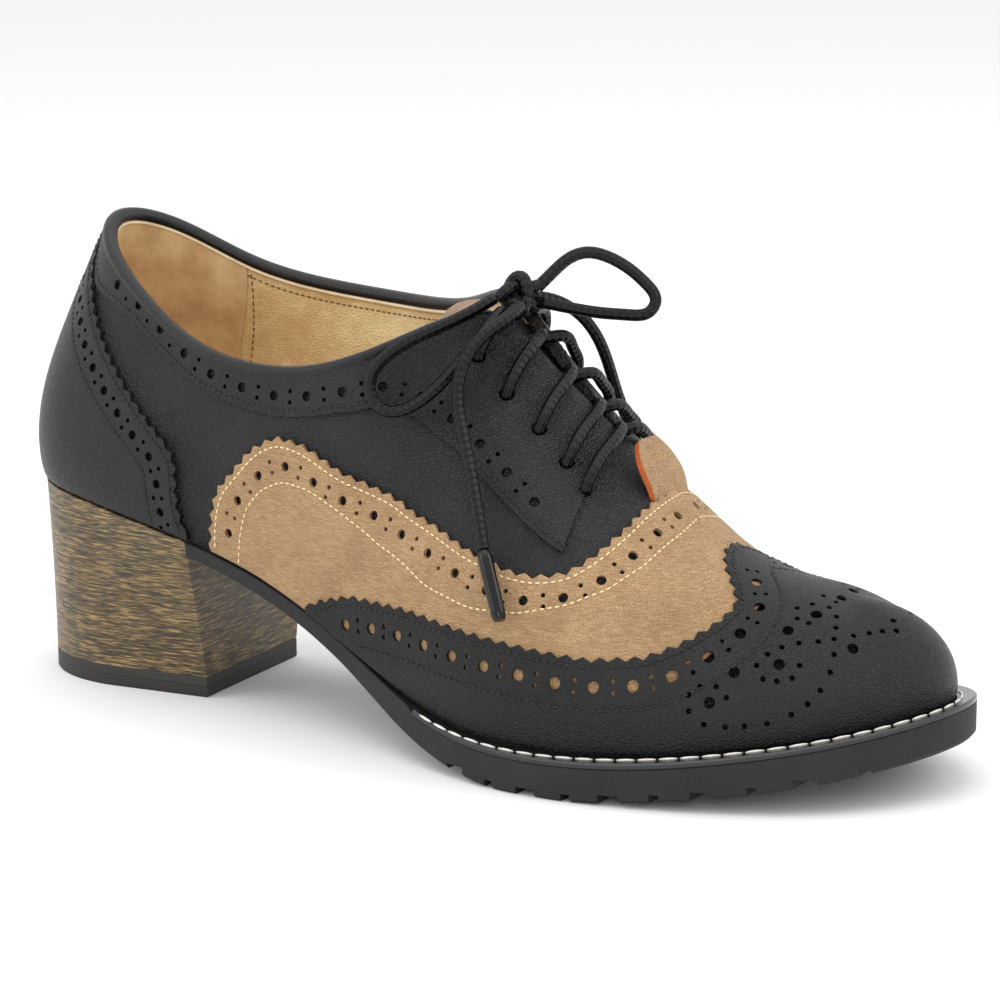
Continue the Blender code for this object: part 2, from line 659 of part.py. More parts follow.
def section_solid(name, outer, inner, look):
    """A closed sheet from two grids of points, one a thickness inside the other."""
    outer, inner = np.asarray(outer), np.asarray(inner)
    rows, columns = outer.shape[:2]
    count = rows * columns
    faces = []
    for i in range(rows - 1):
        for j in range(columns - 1):
            a = i * columns + j
            quad = (a, a + 1, a + columns + 1, a + columns)
            faces.append(quad)
            faces.append(tuple(count + corner for corner in reversed(quad)))
    last_row = (rows - 1) * columns
    border = list(range(columns - 1))
    border += [columns - 1 + i * columns for i in range(rows - 1)]
    border += [last_row + columns - 1 - j for j in range(columns - 1)]
    border += [last_row - i * columns for i in range(rows - 1)]
    for a, b in zip(border, border[1:] + border[:1]):
        faces.append((b, a, count + a, count + b))
    return add_solid(name, np.vstack([outer.reshape(-1, 3), inner.reshape(-1, 3)]), faces, look)


def tongue_section(row, depth):
    """One line of points across the tongue, depth below the inside of the facings."""
    share = np.linspace(row.share, 1, TONGUE_STEPS + 1)
    offset = -(WALL + 2 * GAP + depth)
    outer = surface(np.full(len(share), row.rib), share, offset)
    inner = surface(np.full(len(share), RIBS - row.rib), share, offset)
    middle = (outer[-1] + inner[-1]) / 2
    line = np.vstack([outer[:-1], middle, inner[-2::-1]])
    line = middle + (line - middle) * [1.0, row.width, row.width]
    return line + np.array([-row.back, row.inward, row.up]) * BALL_WIDTH


def make_tongue():
    """The padded tongue under the lacing, with its free end leaning back into the collar."""
    grids = [[tongue_section(row, depth) for row in TONGUE] for depth in (0.0, TONGUE_THICKNESS)]
    return section_solid("tongue", *grids, "black_leather")


def make_throat_tab():
    """The tan tab that comes out from under the vamp over the foot of the lacing."""
    across = np.linspace(-1, 1, TAB_STEPS + 1)
    sides = []
    for extra in (TAB_THICKNESS, 0.0):
        rows = []
        for row in TAB:
            middle = surface(row.rib, 1.0, row.lift * BALL_WIDTH + extra)[0]
            half = row.half_width * BALL_WIDTH
            sag = half * across**2 * row.half_width
            rows.append([middle + [0, step * half, -drop] for step, drop in zip(across, sag)])
        sides.append(rows)
    return section_solid("throat_tab", *sides, "tan_leather")


def make_insole():
    """The insole board inside the upper, on the sole and the heel seat."""
    ribs = np.arange(RIBS * RIB_STEPS) / RIB_STEPS
    plan = foot_line(ribs, -(WALL + 2 * GAP))[0]
    heights = feather_height(plan[:, 0])
    rings = [np.column_stack([plan, heights + rise]) for rise in (0.0, INSOLE_THICKNESS)]
    return ring_solid("insole", rings, "lining_leather", closed=True)


def ladder(count, start, closed):
    """Faces across a ring of points, each joining a point to the one that faces it."""
    offset = 0 if closed else 1
    faces = []
    for k in range(count // 2):
        a, b = k, k + 1
        c, d = (count - offset - b) % count, (count - offset - a) % count
        corners = list(dict.fromkeys((a, b, c, d)))
        if len(corners) > 2:
            faces.append(tuple(start + corner for corner in corners))
    return faces


def ring_solid(name, rings, look, closed):
    """A solid through rings of points, closed across the first and the last by ladders.

    A closed ring starts at the back seam, an open one at the heel's breast, which then closes straight.
    """
    count = len(rings[0])
    faces = [tuple(reversed(face)) for face in ladder(count, 0, closed)]
    for level in range(len(rings) - 1):
        for k in range(count):
            a, b = level * count + k, level * count + (k + 1) % count
            faces.append((a, b, b + count, a + count))
    faces += ladder(count, (len(rings) - 1) * count, closed)
    return add_solid(name, np.vstack(rings), faces, look)


def breast_rib(near, far, extra):
    """The rib between near and far whose outline crosses the heel's breast, extra in front of it."""
    for _ in range(40):
        middle = (near + far) / 2
        x, y = welt_line(middle)[0]
        if x < HEEL_LENGTH / 2 - y * tan(HEEL_YAW) + extra:
            near = middle
        else:
            far = middle
    return near


def sole_ribs():
    """Ribs of the outsole's outline, from the breast round the toe and back to the breast."""
    first = breast_rib(2.0, 5.0, GAP)
    last = breast_rib(RIBS - 2.0, RIBS - 5.0, GAP)
    inside = np.arange(RIBS * RIB_STEPS) / RIB_STEPS
    margin = 0.5 / RIB_STEPS
    inside = inside[(inside > first + margin) & (inside < last - margin)]
    return np.concatenate([[first], inside, [last]])


def has_welt(ribs):
    return (ribs > WELT_STARTS - PROBE) & (ribs < RIBS - WELT_STARTS + PROBE)


def make_outsole():
    """The outsole: a thin waist, a thick forefoot with a seat for the welt, and grooves between its lugs."""
    ribs = sole_ribs()
    outline = welt_line(ribs)
    margin = welt_margin(ribs)
    under = foot_line(ribs, margin - SOLE_UNDERCUT)[0]
    seat = foot_line(ribs, np.minimum(CAP_THICKNESS + GAP, margin / 2))[0]
    ledge = np.where(has_welt(ribs), WELT_THICKNESS + GAP, GAP)
    rings = [
        np.column_stack([under, ground_height(under[:, 0])]),
        np.column_stack([outline, ground_height(outline[:, 0]) + SOLE_UNDERCUT]),
        np.column_stack([outline, feather_height(outline[:, 0]) - ledge]),
        np.column_stack([seat, feather_height(seat[:, 0]) - ledge - GAP / 2]),
        np.column_stack([seat, feather_height(seat[:, 0]) - GAP]),
    ]
    outsole = ring_solid("outsole", rings, "black_rubber", closed=False)
    cut(outsole, groove_cutter(outline[:, 0].max()))
    return outsole


def groove_cutter(toe_end):
    """Bars across the tread, a wide and a narrow one in turn, which leave the lugs between them."""
    bm = bmesh.new()
    x = FIRST_GROOVE
    wide = True
    while x < toe_end - GROOVE_PITCH:
        top = ground_height(x)[0] + GROOVE_DEPTH
        size = (WIDE_GROOVE if wide else NARROW_GROOVE, 2 * BALL_WIDTH, 2 * SOLE_THICKNESS)
        place = Matrix.Translation((x, 0, top - size[2] / 2))
        bmesh.ops.create_cube(bm, size=1, matrix=place @ Matrix.Diagonal((*size, 1)))
        x += GROOVE_PITCH
        wide = not wide
    mesh = bpy.data.meshes.new("grooves")
    bm.to_mesh(mesh)
    bm.free()
    cutter = bpy.data.objects.new("grooves", mesh)
    bpy.context.collection.objects.link(cutter)
    return cutter


def make_welt():
    """The narrow ledge between upper and outsole round the forefoot."""
    ribs = sole_ribs()
    ribs = ribs[has_welt(ribs)]
    edge = welt_line(ribs)
    inner = foot_line(ribs, CAP_THICKNESS + 2 * GAP)[0]
    section = []
    for plan, rise in ((edge, 0.0), (inner, 0.0), (inner, -WELT_THICKNESS), (edge, -WELT_THICKNESS)):
        section.append(np.column_stack([plan, feather_height(plan[:, 0]) + rise]))
    count = len(ribs)
    faces = [tuple(k * count for k in range(4)), tuple(k * count + count - 1 for k in (3, 2, 1, 0))]
    for k in range(4):
        for i in range(count - 1):
            a, b = k * count + i, (k + 1) % 4 * count + i
            faces.append((a, a + 1, b + 1, b))
    return add_solid("welt", np.vstack(section), faces, "black_welt")


def evenly(points, count):
    """Count points at even lengths along a line of points."""
    points = np.asarray(points)
    length = np.concatenate([[0], np.cumsum(np.linalg.norm(np.diff(points, axis=0), axis=1))])
    places = np.linspace(0, length[-1], count)
    return np.column_stack([np.interp(places, length, points[:, k]) for k in range(points.shape[1])])


def heel_foot():
    """The heel's outline at the floor, from the breast's outer corner round the back to its inner one."""
    half = HEEL_WIDTH / 2
    turn = np.linspace(-pi / 2, pi / 2, 61)
    back = HEEL_LENGTH - HEEL_BACK
    curve = np.column_stack([-back - HEEL_BACK * np.cos(turn), (half + HEEL_SWELL) * np.sin(turn)])
    outline = np.vstack([[(0, -half)], curve, [(0, half)]])
    yaw = np.array([[cos(HEEL_YAW), sin(HEEL_YAW)], [-sin(HEEL_YAW), cos(HEEL_YAW)]])
    return evenly(outline, HEEL_STEPS + 1) @ yaw + [HEEL_LENGTH / 2, 0.0]


def heel_seat():
    """The heel's outline under the upper, flush with the counter, from breast corner to breast corner."""
    outer = breast_rib(2.0, 5.0, 0.0)
    inner = breast_rib(RIBS - 2.0, RIBS - 5.0, 0.0)
    ribs = np.linspace(outer, inner - RIBS, 121)
    return evenly(foot_line(ribs, COUNTER_THICKNESS)[0], HEEL_STEPS + 1)


def make_heel():
    """The block, from the seat down to the top lift, and the lift on the floor."""
    seat, foot = heel_seat(), heel_foot()
    rings = [
        np.column_stack([foot, np.full(len(foot), LIFT_THICKNESS + GAP)]),
        np.column_stack([seat, feather_height(seat[:, 0]) - GAP]),
    ]
    ring_solid("heel_block", rings, "stacked_heel", closed=False)
    flat = [np.column_stack([foot, np.full(len(foot), height)]) for height in (0.0, LIFT_THICKNESS)]
    ring_solid("top_lift", flat, "black_rubber", closed=False)


def add_cord(name, points, diameter, look, spacing=1.6):
    """A round cord along a smooth curve through points, on a poly spline with a point every few diameters."""
    points = np.asarray(points, float)
    length = np.concatenate([[0], np.cumsum(np.linalg.norm(np.diff(points, axis=0), axis=1))])
    count = max(2, round(length[-1] / (spacing * diameter)) + 1)
    route = spline(length, points)(np.linspace(0, length[-1], count))
    curve = bpy.data.curves.new(name, "CURVE")
    curve.dimensions = "3D"
    curve.bevel_depth = diameter / 2
    curve.bevel_resolution = 2
    curve.use_fill_caps = True
    line = curve.splines.new("POLY")
    line.points.add(count - 1)
    for point, place in zip(line.points, route):
        point.co = (*place, 1.0)
    curve.materials.append(make_material(look))
    obj = bpy.data.objects.new(name, curve)
    bpy.context.collection.objects.link(obj)
    return obj


def bar_points(eyelet):
    """The way of one bar: off the outer facing, over the lacing's gap and onto the inner facing."""
    points = []
    for place in (-1.0, -0.7, -0.4, -0.12, 0.12, 0.4, 0.7, 1.0):
        share = 1 - abs(place) * (1 - eyelet.share)
        points.append(surface(eyelet.rib if place < 0 else RIBS - eyelet.rib, share, LACE_LIFT)[0])
    edges = [surface(rib, 1.0, LACE_LIFT * eyelet.middle)[0] for rib in (eyelet.rib, RIBS - eyelet.rib)]
    points.insert(len(points) // 2, sum(edges) / 2)
    return points


def make_lace_crossings():
    """The lace over the instep: a bar at each pair of eyelets, joined by the strands between them."""
    bars = [bar_points(eyelet) for eyelet in EYELETS]
    strands = bars[1:]
    middles = [bar[len(bar) // 2] for bar in bars]
    strands += [list(ends) for ends in zip(middles, middles[1:])]
    crossings = None
    for number, route in enumerate(strands):
        name = "lace_crossings" if crossings is None else f"strand_{number}"
        strand = mesh_from(add_cord(name, route, LACE_DIAMETER, "waxed_cord", spacing=1.6))
        if crossings is None:
            crossings = strand
        else:
            cut(crossings, strand, "UNION")
    return crossings


def mesh_from(curve_object):
    """The curve object's shape as a mesh object of the same name, with its end caps joined on."""
    graph = bpy.context.evaluated_depsgraph_get()
    mesh = bpy.data.meshes.new_from_object(curve_object.evaluated_get(graph))
    name = curve_object.name
    bpy.data.objects.remove(curve_object)
    bm = bmesh.new()
    bm.from_mesh(mesh)
    bmesh.ops.remove_doubles(bm, verts=bm.verts, dist=GAP / 100)
    bm.to_mesh(mesh)
    bm.free()
    obj = bpy.data.objects.new(name, mesh)
    bpy.context.collection.objects.link(obj)
    return obj


def make_bow():
    """The knot, its two loops and the two free ends with their aglets."""
    bm = bmesh.new()
    shape = Matrix.Translation(Vector(KNOT_PLACE) * MILLIMETRE) @ Matrix.Diagonal((*KNOT_SIZE, 1))
    bmesh.ops.create_icosphere(bm, subdivisions=2, radius=0.5, matrix=shape)
    mesh = bpy.data.meshes.new("lace_knot")
    bm.to_mesh(mesh)
    bm.free()
    mesh.materials.append(make_material("waxed_cord"))
    bpy.context.collection.objects.link(bpy.data.objects.new("lace_knot", mesh))
    for name, route in LACE_ROUTES.items():
        add_cord(name, np.array(route) * MILLIMETRE, LACE_DIAMETER, "waxed_cord")
    for name, ends in AGLET_ENDS.items():
        add_cord(name, np.array(ends) * MILLIMETRE, AGLET_DIAMETER, "aglet_plastic", spacing=9)


def main():
    for obj in list(bpy.data.objects):
        bpy.data.objects.remove(obj)
    make_upper()
    make_vamp()
    make_toe_cap()
    make_counter()
    make_eyestay("eyestay_outer", 1)
    make_eyestay("eyestay_inner", -1)
    make_tongue()
    make_throat_tab()
    make_insole()
    make_outsole()
    make_welt()
    make_heel()
    make_lace_crossings()
    make_bow()


main()
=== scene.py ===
"""A right-foot spectator shoe on a block heel: black quarters, tan wingtip vamp, black winged toe cap.

Metres, +Z up, +X to the toe, -Y to the outer side of the foot. The leather pieces are cut as flat outlines
over the last, in ribs along it and shares up each rib, and laid on it at their own depths.
"""
from collections import namedtuple
from math import cos, pi, radians, sin, tan

import bmesh
import bpy
import numpy as np
from mathutils import Matrix, Vector
from mathutils.geometry import delaunay_2d_cdt


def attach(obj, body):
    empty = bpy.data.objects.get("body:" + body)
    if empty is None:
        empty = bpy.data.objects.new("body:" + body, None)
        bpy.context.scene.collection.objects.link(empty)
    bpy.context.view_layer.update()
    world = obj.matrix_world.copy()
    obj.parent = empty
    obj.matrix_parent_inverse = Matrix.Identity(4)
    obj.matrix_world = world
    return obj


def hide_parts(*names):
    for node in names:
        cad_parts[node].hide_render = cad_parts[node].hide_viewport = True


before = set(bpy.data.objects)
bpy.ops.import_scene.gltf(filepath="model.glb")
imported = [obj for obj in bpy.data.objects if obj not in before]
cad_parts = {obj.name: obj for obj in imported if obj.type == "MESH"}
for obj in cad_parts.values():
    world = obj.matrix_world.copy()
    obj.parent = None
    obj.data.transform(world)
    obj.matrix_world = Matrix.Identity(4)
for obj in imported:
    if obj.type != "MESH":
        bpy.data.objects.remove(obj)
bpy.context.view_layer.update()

# THE INSOLE SOCK. A thin golden tan leather sock, glued on the insole board that closes the shoe from
# below. The shoe is built on a last, so the last's own sizes and faces come first, with this piece.

LAST_LENGTH = 0.2328
BALL_WIDTH = 0.078
QUARTER_RISE = 0.063
HEEL_SEAT_HEIGHT = 0.0496
TOE_SPRING = 0.0097
HEEL_MIDDLE = 0.0248
SOLE_THICKNESS = 0.0090
TREAD_FLAT = 0.0003
WELT_WIDTH = 0.0065
WALL = 0.0017
GAP = 0.0003
INSOLE_THICKNESS = 0.0030
PROBE = 0.001

Rib = namedtuple("Rib", "foot_x foot_y top_x top_y rise low_out low_rise high_out high_drop welt")
# foot_x and top_x are shares of LAST_LENGTH from the back of the featherline. foot_y, top_y, low_out and
# high_out are shares of BALL_WIDTH, rise is one of QUARTER_RISE, and welt is one of WELT_WIDTH. low_rise
# and high_drop are shares of the rib's own rise. The two out columns swell the rib, low and high.
OUTER_RIBS = (
    Rib(0.000, 0.000, 0.066, 0.000, 1.000, 0.083, 0.30, 0.141, 0.35, 0.00),
    Rib(0.026, 0.247, 0.096, 0.173, 0.922, 0.077, 0.33, 0.090, 0.35, 0.00),
    Rib(0.095, 0.346, 0.162, 0.276, 0.797, 0.064, 0.35, 0.038, 0.35, 0.00),
    Rib(0.197, 0.359, 0.253, 0.333, 0.705, 0.038, 0.35, 0.026, 0.35, 0.15),
    Rib(0.317, 0.359, 0.356, 0.346, 0.781, 0.038, 0.35, 0.038, 0.35, 0.15),
    Rib(0.424, 0.397, 0.454, 0.301, 1.044, 0.038, 0.38, 0.103, 0.30, 0.05),
    Rib(0.515, 0.459, 0.532, 0.103, 1.310, 0.038, 0.40, 0.218, 0.20, 0.35),
    Rib(0.605, 0.522, 0.596, 0.045, 1.230, 0.038, 0.42, 0.282, 0.12, 0.60),
    Rib(0.691, 0.528, 0.682, 0.000, 0.945, 0.026, 0.45, 0.308, 0.06, 0.82),
    Rib(0.779, 0.472, 0.755, -0.013, 0.678, 0.013, 0.50, 0.295, 0.02, 0.95),
    Rib(0.862, 0.378, 0.824, -0.038, 0.486, 0.013, 0.52, 0.256, 0.00, 1.00),
    Rib(0.933, 0.254, 0.875, -0.051, 0.400, 0.019, 0.54, 0.218, 0.00, 1.00),
    Rib(0.983, 0.083, 0.906, -0.051, 0.335, 0.026, 0.55, 0.179, 0.00, 1.00),
    Rib(1.000, -0.058, 0.918, -0.051, 0.316, 0.026, 0.55, 0.154, 0.00, 1.00),
)
INNER_RIBS = (
    Rib(0.026, 0.247, 0.096, 0.186, 0.946, 0.077, 0.33, 0.090, 0.35, 0.00),
    Rib(0.095, 0.346, 0.162, 0.308, 0.837, 0.064, 0.35, 0.038, 0.35, 0.00),
    Rib(0.197, 0.346, 0.253, 0.346, 0.840, 0.026, 0.35, 0.038, 0.35, 0.05),
    Rib(0.317, 0.301, 0.356, 0.327, 0.937, 0.013, 0.35, 0.051, 0.35, 0.10),
    Rib(0.424, 0.288, 0.454, 0.218, 1.138, 0.013, 0.38, 0.103, 0.30, 0.40),
    Rib(0.510, 0.340, 0.532, 0.090, 1.338, 0.013, 0.40, 0.205, 0.20, 0.85),
    Rib(0.605, 0.427, 0.596, 0.045, 1.230, 0.026, 0.42, 0.269, 0.12, 0.80),
    Rib(0.691, 0.471, 0.682, 0.000, 0.945, 0.026, 0.45, 0.244, 0.06, 0.90),
    Rib(0.779, 0.472, 0.755, 0.013, 0.678, 0.013, 0.50, 0.218, 0.02, 0.95),
    Rib(0.871, 0.414, 0.824, 0.038, 0.486, 0.013, 0.52, 0.205, 0.00, 1.00),
    Rib(0.946, 0.315, 0.875, 0.051, 0.400, 0.013, 0.54, 0.192, 0.00, 1.00),
    Rib(0.989, 0.186, 0.906, 0.051, 0.335, 0.026, 0.55, 0.179, 0.00, 1.00),
)
TOE = len(OUTER_RIBS) - 1
RIBS = 2 * TOE
THROAT = 8
CROWN_BLEND = (8.3, 9.0, 11.5, 12.5), (0.0, 1.0, 1.0, 0.0)  # ribs, and how far they follow the crown's slope
CROWN_END_RUN = 0.0008  # keeps that slope finite where the crown ends

Profile = namedtuple("Profile", "along heel toe sole")
# along is a share of LAST_LENGTH from the back of the featherline. The featherline stands SOLE_THICKNESS
# over the floor, plus heel as a share of the heel's own rise and toe as one of TOE_SPRING. sole is the
# outsole's thickness there, as a share of SOLE_THICKNESS.
PROFILE = (
    Profile(-0.104, 1.035, 0.00, 0.34),
    Profile(0.000, 1.000, 0.00, 0.34),
    Profile(0.076, 0.948, 0.00, 0.34),
    Profile(0.188, 0.825, 0.00, 0.34),
    Profile(0.317, 0.628, 0.00, 0.41),
    Profile(0.424, 0.369, 0.00, 0.56),
    Profile(0.515, 0.148, 0.00, 0.76),
    Profile(0.605, 0.025, 0.00, 0.93),
    Profile(0.691, 0.000, 0.00, 1.00),
    Profile(0.779, 0.000, 0.10, 0.96),
    Profile(0.862, 0.000, 0.35, 0.96),
    Profile(0.933, 0.000, 0.65, 0.96),
    Profile(1.000, 0.000, 1.00, 0.96),
    Profile(1.050, 0.000, 1.33, 0.96),
)

Crease = namedtuple("Crease", "rib share rib_reach share_reach tilt depth")
# Soft creases and swells that wear and lasting leave: negative depths stand proud.
CREASES = (
    Crease(8.15, 0.22, 0.10, 0.16, 0.9, 0.00035),
    Crease(7.75, 0.17, 0.10, 0.15, 0.8, 0.00030),
    Crease(8.55, 0.30, 0.12, 0.16, 0.9, 0.00030),
    Crease(7.30, 0.20, 0.10, 0.14, 0.5, 0.00022),
    Crease(8.35, 0.52, 0.08, 0.10, 0.7, 0.00025),
    Crease(3.95, 0.55, 0.35, 0.05, 0.0, 0.00030),
    Crease(5.10, 0.68, 0.30, 0.06, -0.4, 0.00030),
    Crease(2.00, 0.78, 0.25, 0.05, -0.3, 0.00030),
    Crease(1.20, 0.45, 0.80, 0.22, 0.0, -0.00040),
)


def unit(vectors):
    """Rows of a table as directions of length one."""
    return vectors / np.linalg.norm(vectors, axis=1)[:, None]


def length_along(points):
    """The length from the first point to each one, along the points."""
    return np.concatenate([[0], np.cumsum(np.linalg.norm(np.diff(points, axis=0), axis=1))])


def spline(knots, values):
    """The smooth curve through values at knots, as a function of places along the knots."""
    x = np.asarray(knots, float)
    y = np.asarray(values, float).reshape(len(x), -1)
    span = np.diff(x)
    system = np.eye(len(x))
    turn = np.zeros_like(y)
    for i in range(1, len(x) - 1):
        system[i, i - 1 : i + 2] = span[i - 1], 2 * (span[i - 1] + span[i]), span[i]
        turn[i] = 6 * ((y[i + 1] - y[i]) / span[i] - (y[i] - y[i - 1]) / span[i - 1])
    bend = np.linalg.solve(system, turn)

    def at(places):
        t = np.atleast_1d(np.asarray(places, float))
        i = np.clip(np.searchsorted(x, t, side="right") - 1, 0, len(x) - 2)
        w = span[i][:, None]
        s = (t - x[i])[:, None]
        r = w - s
        cubic = (bend[i] * r**3 + bend[i + 1] * s**3) / (6 * w)
        return cubic + (y[i] / w - bend[i] * w / 6) * r + (y[i + 1] / w - bend[i + 1] * w / 6) * s

    return at


def rib_curve():
    """All ribs in one ring, to the toe and back on the inner side, some rows repeated past each end."""
    outer = [list(rib) for rib in OUTER_RIBS]
    inner = [list(rib) for rib in INNER_RIBS]
    for rib in outer:
        rib[1], rib[3] = -rib[1], -rib[3]
    ring = outer + inner[::-1]
    overlap = 4
    rows = ring[-overlap:] + ring + ring[: overlap + 1]
    return spline(range(-overlap, RIBS + overlap + 1), rows)


rib_at = rib_curve()
heights_at = spline([row.along for row in PROFILE], [row[1:] for row in PROFILE])


def feather_height(x):
    """Height of the featherline over the floor, at x from the origin."""
    share = (np.atleast_1d(x) + HEEL_MIDDLE) / LAST_LENGTH
    heel, toe = heights_at(share)[:, :2].T
    return SOLE_THICKNESS + heel * (HEEL_SEAT_HEIGHT - SOLE_THICKNESS) + toe * TOE_SPRING


def ground_height(x):
    """Height of the outsole's lower face, with its flat spot on the floor."""
    share = (np.atleast_1d(x) + HEEL_MIDDLE) / LAST_LENGTH
    depth = heights_at(share)[:, 2] * SOLE_THICKNESS + TREAD_FLAT
    return np.maximum(feather_height(x) - depth, 0.0)


def foot_line(u, outset=0.0):
    """Points of the featherline in plan at ribs u, moved outward by outset, and the outward directions."""
    u = np.atleast_1d(np.asarray(u, float)) % RIBS
    scale = np.array([LAST_LENGTH, BALL_WIDTH])
    place = rib_at(u)[:, :2] * scale - [HEEL_MIDDLE, 0.0]
    along = unit((rib_at(u + PROBE)[:, :2] - rib_at(u - PROBE)[:, :2]) * scale)
    out = np.column_stack([along[:, 1], -along[:, 0]])
    return place + out * np.reshape(outset, (-1, 1)), out


def welt_margin(u):
    """How far the outsole stands out from the featherline."""
    return rib_at(np.atleast_1d(u) % RIBS)[:, 9] * WELT_WIDTH


def welt_line(u):
    """The outsole's outline in plan."""
    return foot_line(u, welt_margin(u))[0]


def top_edge(u):
    """Points of the top edge: the collar, the facings and then the crown, which both sides share."""
    u = np.asarray(u, float) % RIBS
    rib, mirrored = rib_at(u)[:, 2:5], rib_at(RIBS - u)[:, 2:5]
    foot, facing = (feather_height(foot_line(place)[0][:, 0]) for place in (u, -u))
    crown = np.minimum(u, RIBS - u) >= THROAT
    shape = np.where(crown[:, None], (rib + mirrored) / 2, rib)
    height = np.where(crown, (foot + facing) / 2, foot) + shape[:, 2] * QUARTER_RISE
    return np.column_stack([shape[:, 0] * LAST_LENGTH - HEEL_MIDDLE, shape[:, 1] * BALL_WIDTH, height])


def crown_lift(u, swell):
    """Height that keeps the ribs' upper ends level with the crown's slope, where the sides meet."""
    step = top_edge(u + PROBE) - top_edge(u - PROBE)
    run = np.sum(step[:, :2] ** 2, axis=1) + (2 * PROBE * CROWN_END_RUN) ** 2
    share = np.interp(np.minimum(u, RIBS - u), *CROWN_BLEND)
    return np.sum(swell * step[:, :2], axis=1) / run * step[:, 2] * share


def bare_surface(u, v):
    """Points of the upper's outer face at ribs u and shares v."""
    u = np.asarray(u, float) % RIBS
    v = np.asarray(v, float)[:, None]
    rib = rib_at(u)
    plan, out = foot_line(u)
    foot = np.column_stack([plan, feather_height(plan[:, 0])])
    top = top_edge(u)
    rise = top[:, 2] - foot[:, 2]
    swell = out * rib[:, 7:8] * BALL_WIDTH
    low = foot + np.column_stack([out * rib[:, 5:6] * BALL_WIDTH, rise * rib[:, 6]])
    high = top + np.column_stack([swell, crown_lift(u, swell) - rise * rib[:, 8]])
    return (1 - v) ** 3 * foot + 3 * (1 - v) ** 2 * v * low + 3 * (1 - v) * v**2 * high + v**3 * top


def surface_normal(u, v):
    """Outward unit normals; along the crown both sides share one."""
    v = np.clip(v, PROBE, 0.98)
    across = bare_surface(u + PROBE, v) - bare_surface(u - PROBE, v)
    upward = bare_surface(u, v + PROBE) - bare_surface(u, v - PROBE)
    return unit(np.cross(across, upward))


def surface(u, v, offset=0.0):
    """Points at offset outside the upper's outer face; a negative offset goes inside."""
    u = np.atleast_1d(np.asarray(u, float)) % RIBS
    v = np.broadcast_to(np.asarray(v, float), u.shape)
    normal = surface_normal(u, v)
    ridge = (v > 1 - PROBE) & (np.minimum(u, RIBS - u) >= THROAT)
    both = unit(normal + surface_normal(-u % RIBS, v))
    return bare_surface(u, v) + np.where(ridge[:, None], both, normal) * offset


def creasing(u, v):
    """How far the creases lower the leather at ribs u and shares v, the same on both sides."""
    u = np.minimum(u % RIBS, -u % RIBS)
    lowered = np.zeros(len(u))
    for crease in CREASES:
        across = (u - crease.rib) - crease.tilt * (v - crease.share)
        reach = (across / crease.rib_reach) ** 2 + ((v - crease.share) / crease.share_reach) ** 2
        lowered += crease.depth * np.exp(-reach)
    return lowered


def on_last(u, v, depth=0.0):
    """Points at depth outside the leather's outer face, with its creases."""
    u = np.atleast_1d(np.asarray(u, float))
    v = np.broadcast_to(np.asarray(v, float), u.shape)
    return surface(u, v, (depth - creasing(u, v))[:, None])


def dye(red, green, blue):
    """A colour as a swatch gives it, 0 to 255, in the shader's own scale."""
    swatch = np.array([red, green, blue]) / 255
    return (*np.where(swatch > 0.04045, ((swatch + 0.055) / 1.055) ** 2.4, swatch / 12.92), 1.0)


def blank_finish(name):
    """A new material, its shader, and a function that adds a node and joins its inputs."""
    material = bpy.data.materials.new(name)
    material.use_nodes = True
    tree = material.node_tree
    shader = tree.nodes["Principled BSDF"]

    def add(kind, inputs=(), **settings):
        node = tree.nodes.new(kind)
        for key, value in settings.items():
            setattr(node, key, value)
        for key, value in dict(inputs).items():
            if isinstance(value, bpy.types.NodeSocket):
                tree.links.new(value, node.inputs[key])
            else:
                node.inputs[key].default_value = value
        return node

    def feed(key, value):
        if isinstance(value, bpy.types.NodeSocket):
            tree.links.new(value, shader.inputs[key])
        else:
            shader.inputs[key].default_value = value

    return material, add, feed


def ramp(add, factor, dark, light, low=0.3, high=0.7):
    """Two colours mixed by a factor."""
    node = add("ShaderNodeValToRGB", {"Fac": factor})
    for element, place, colour in zip(node.color_ramp.elements, (low, high), (dark, light)):
        element.position = place
        element.color = colour
    return node.outputs["Color"]


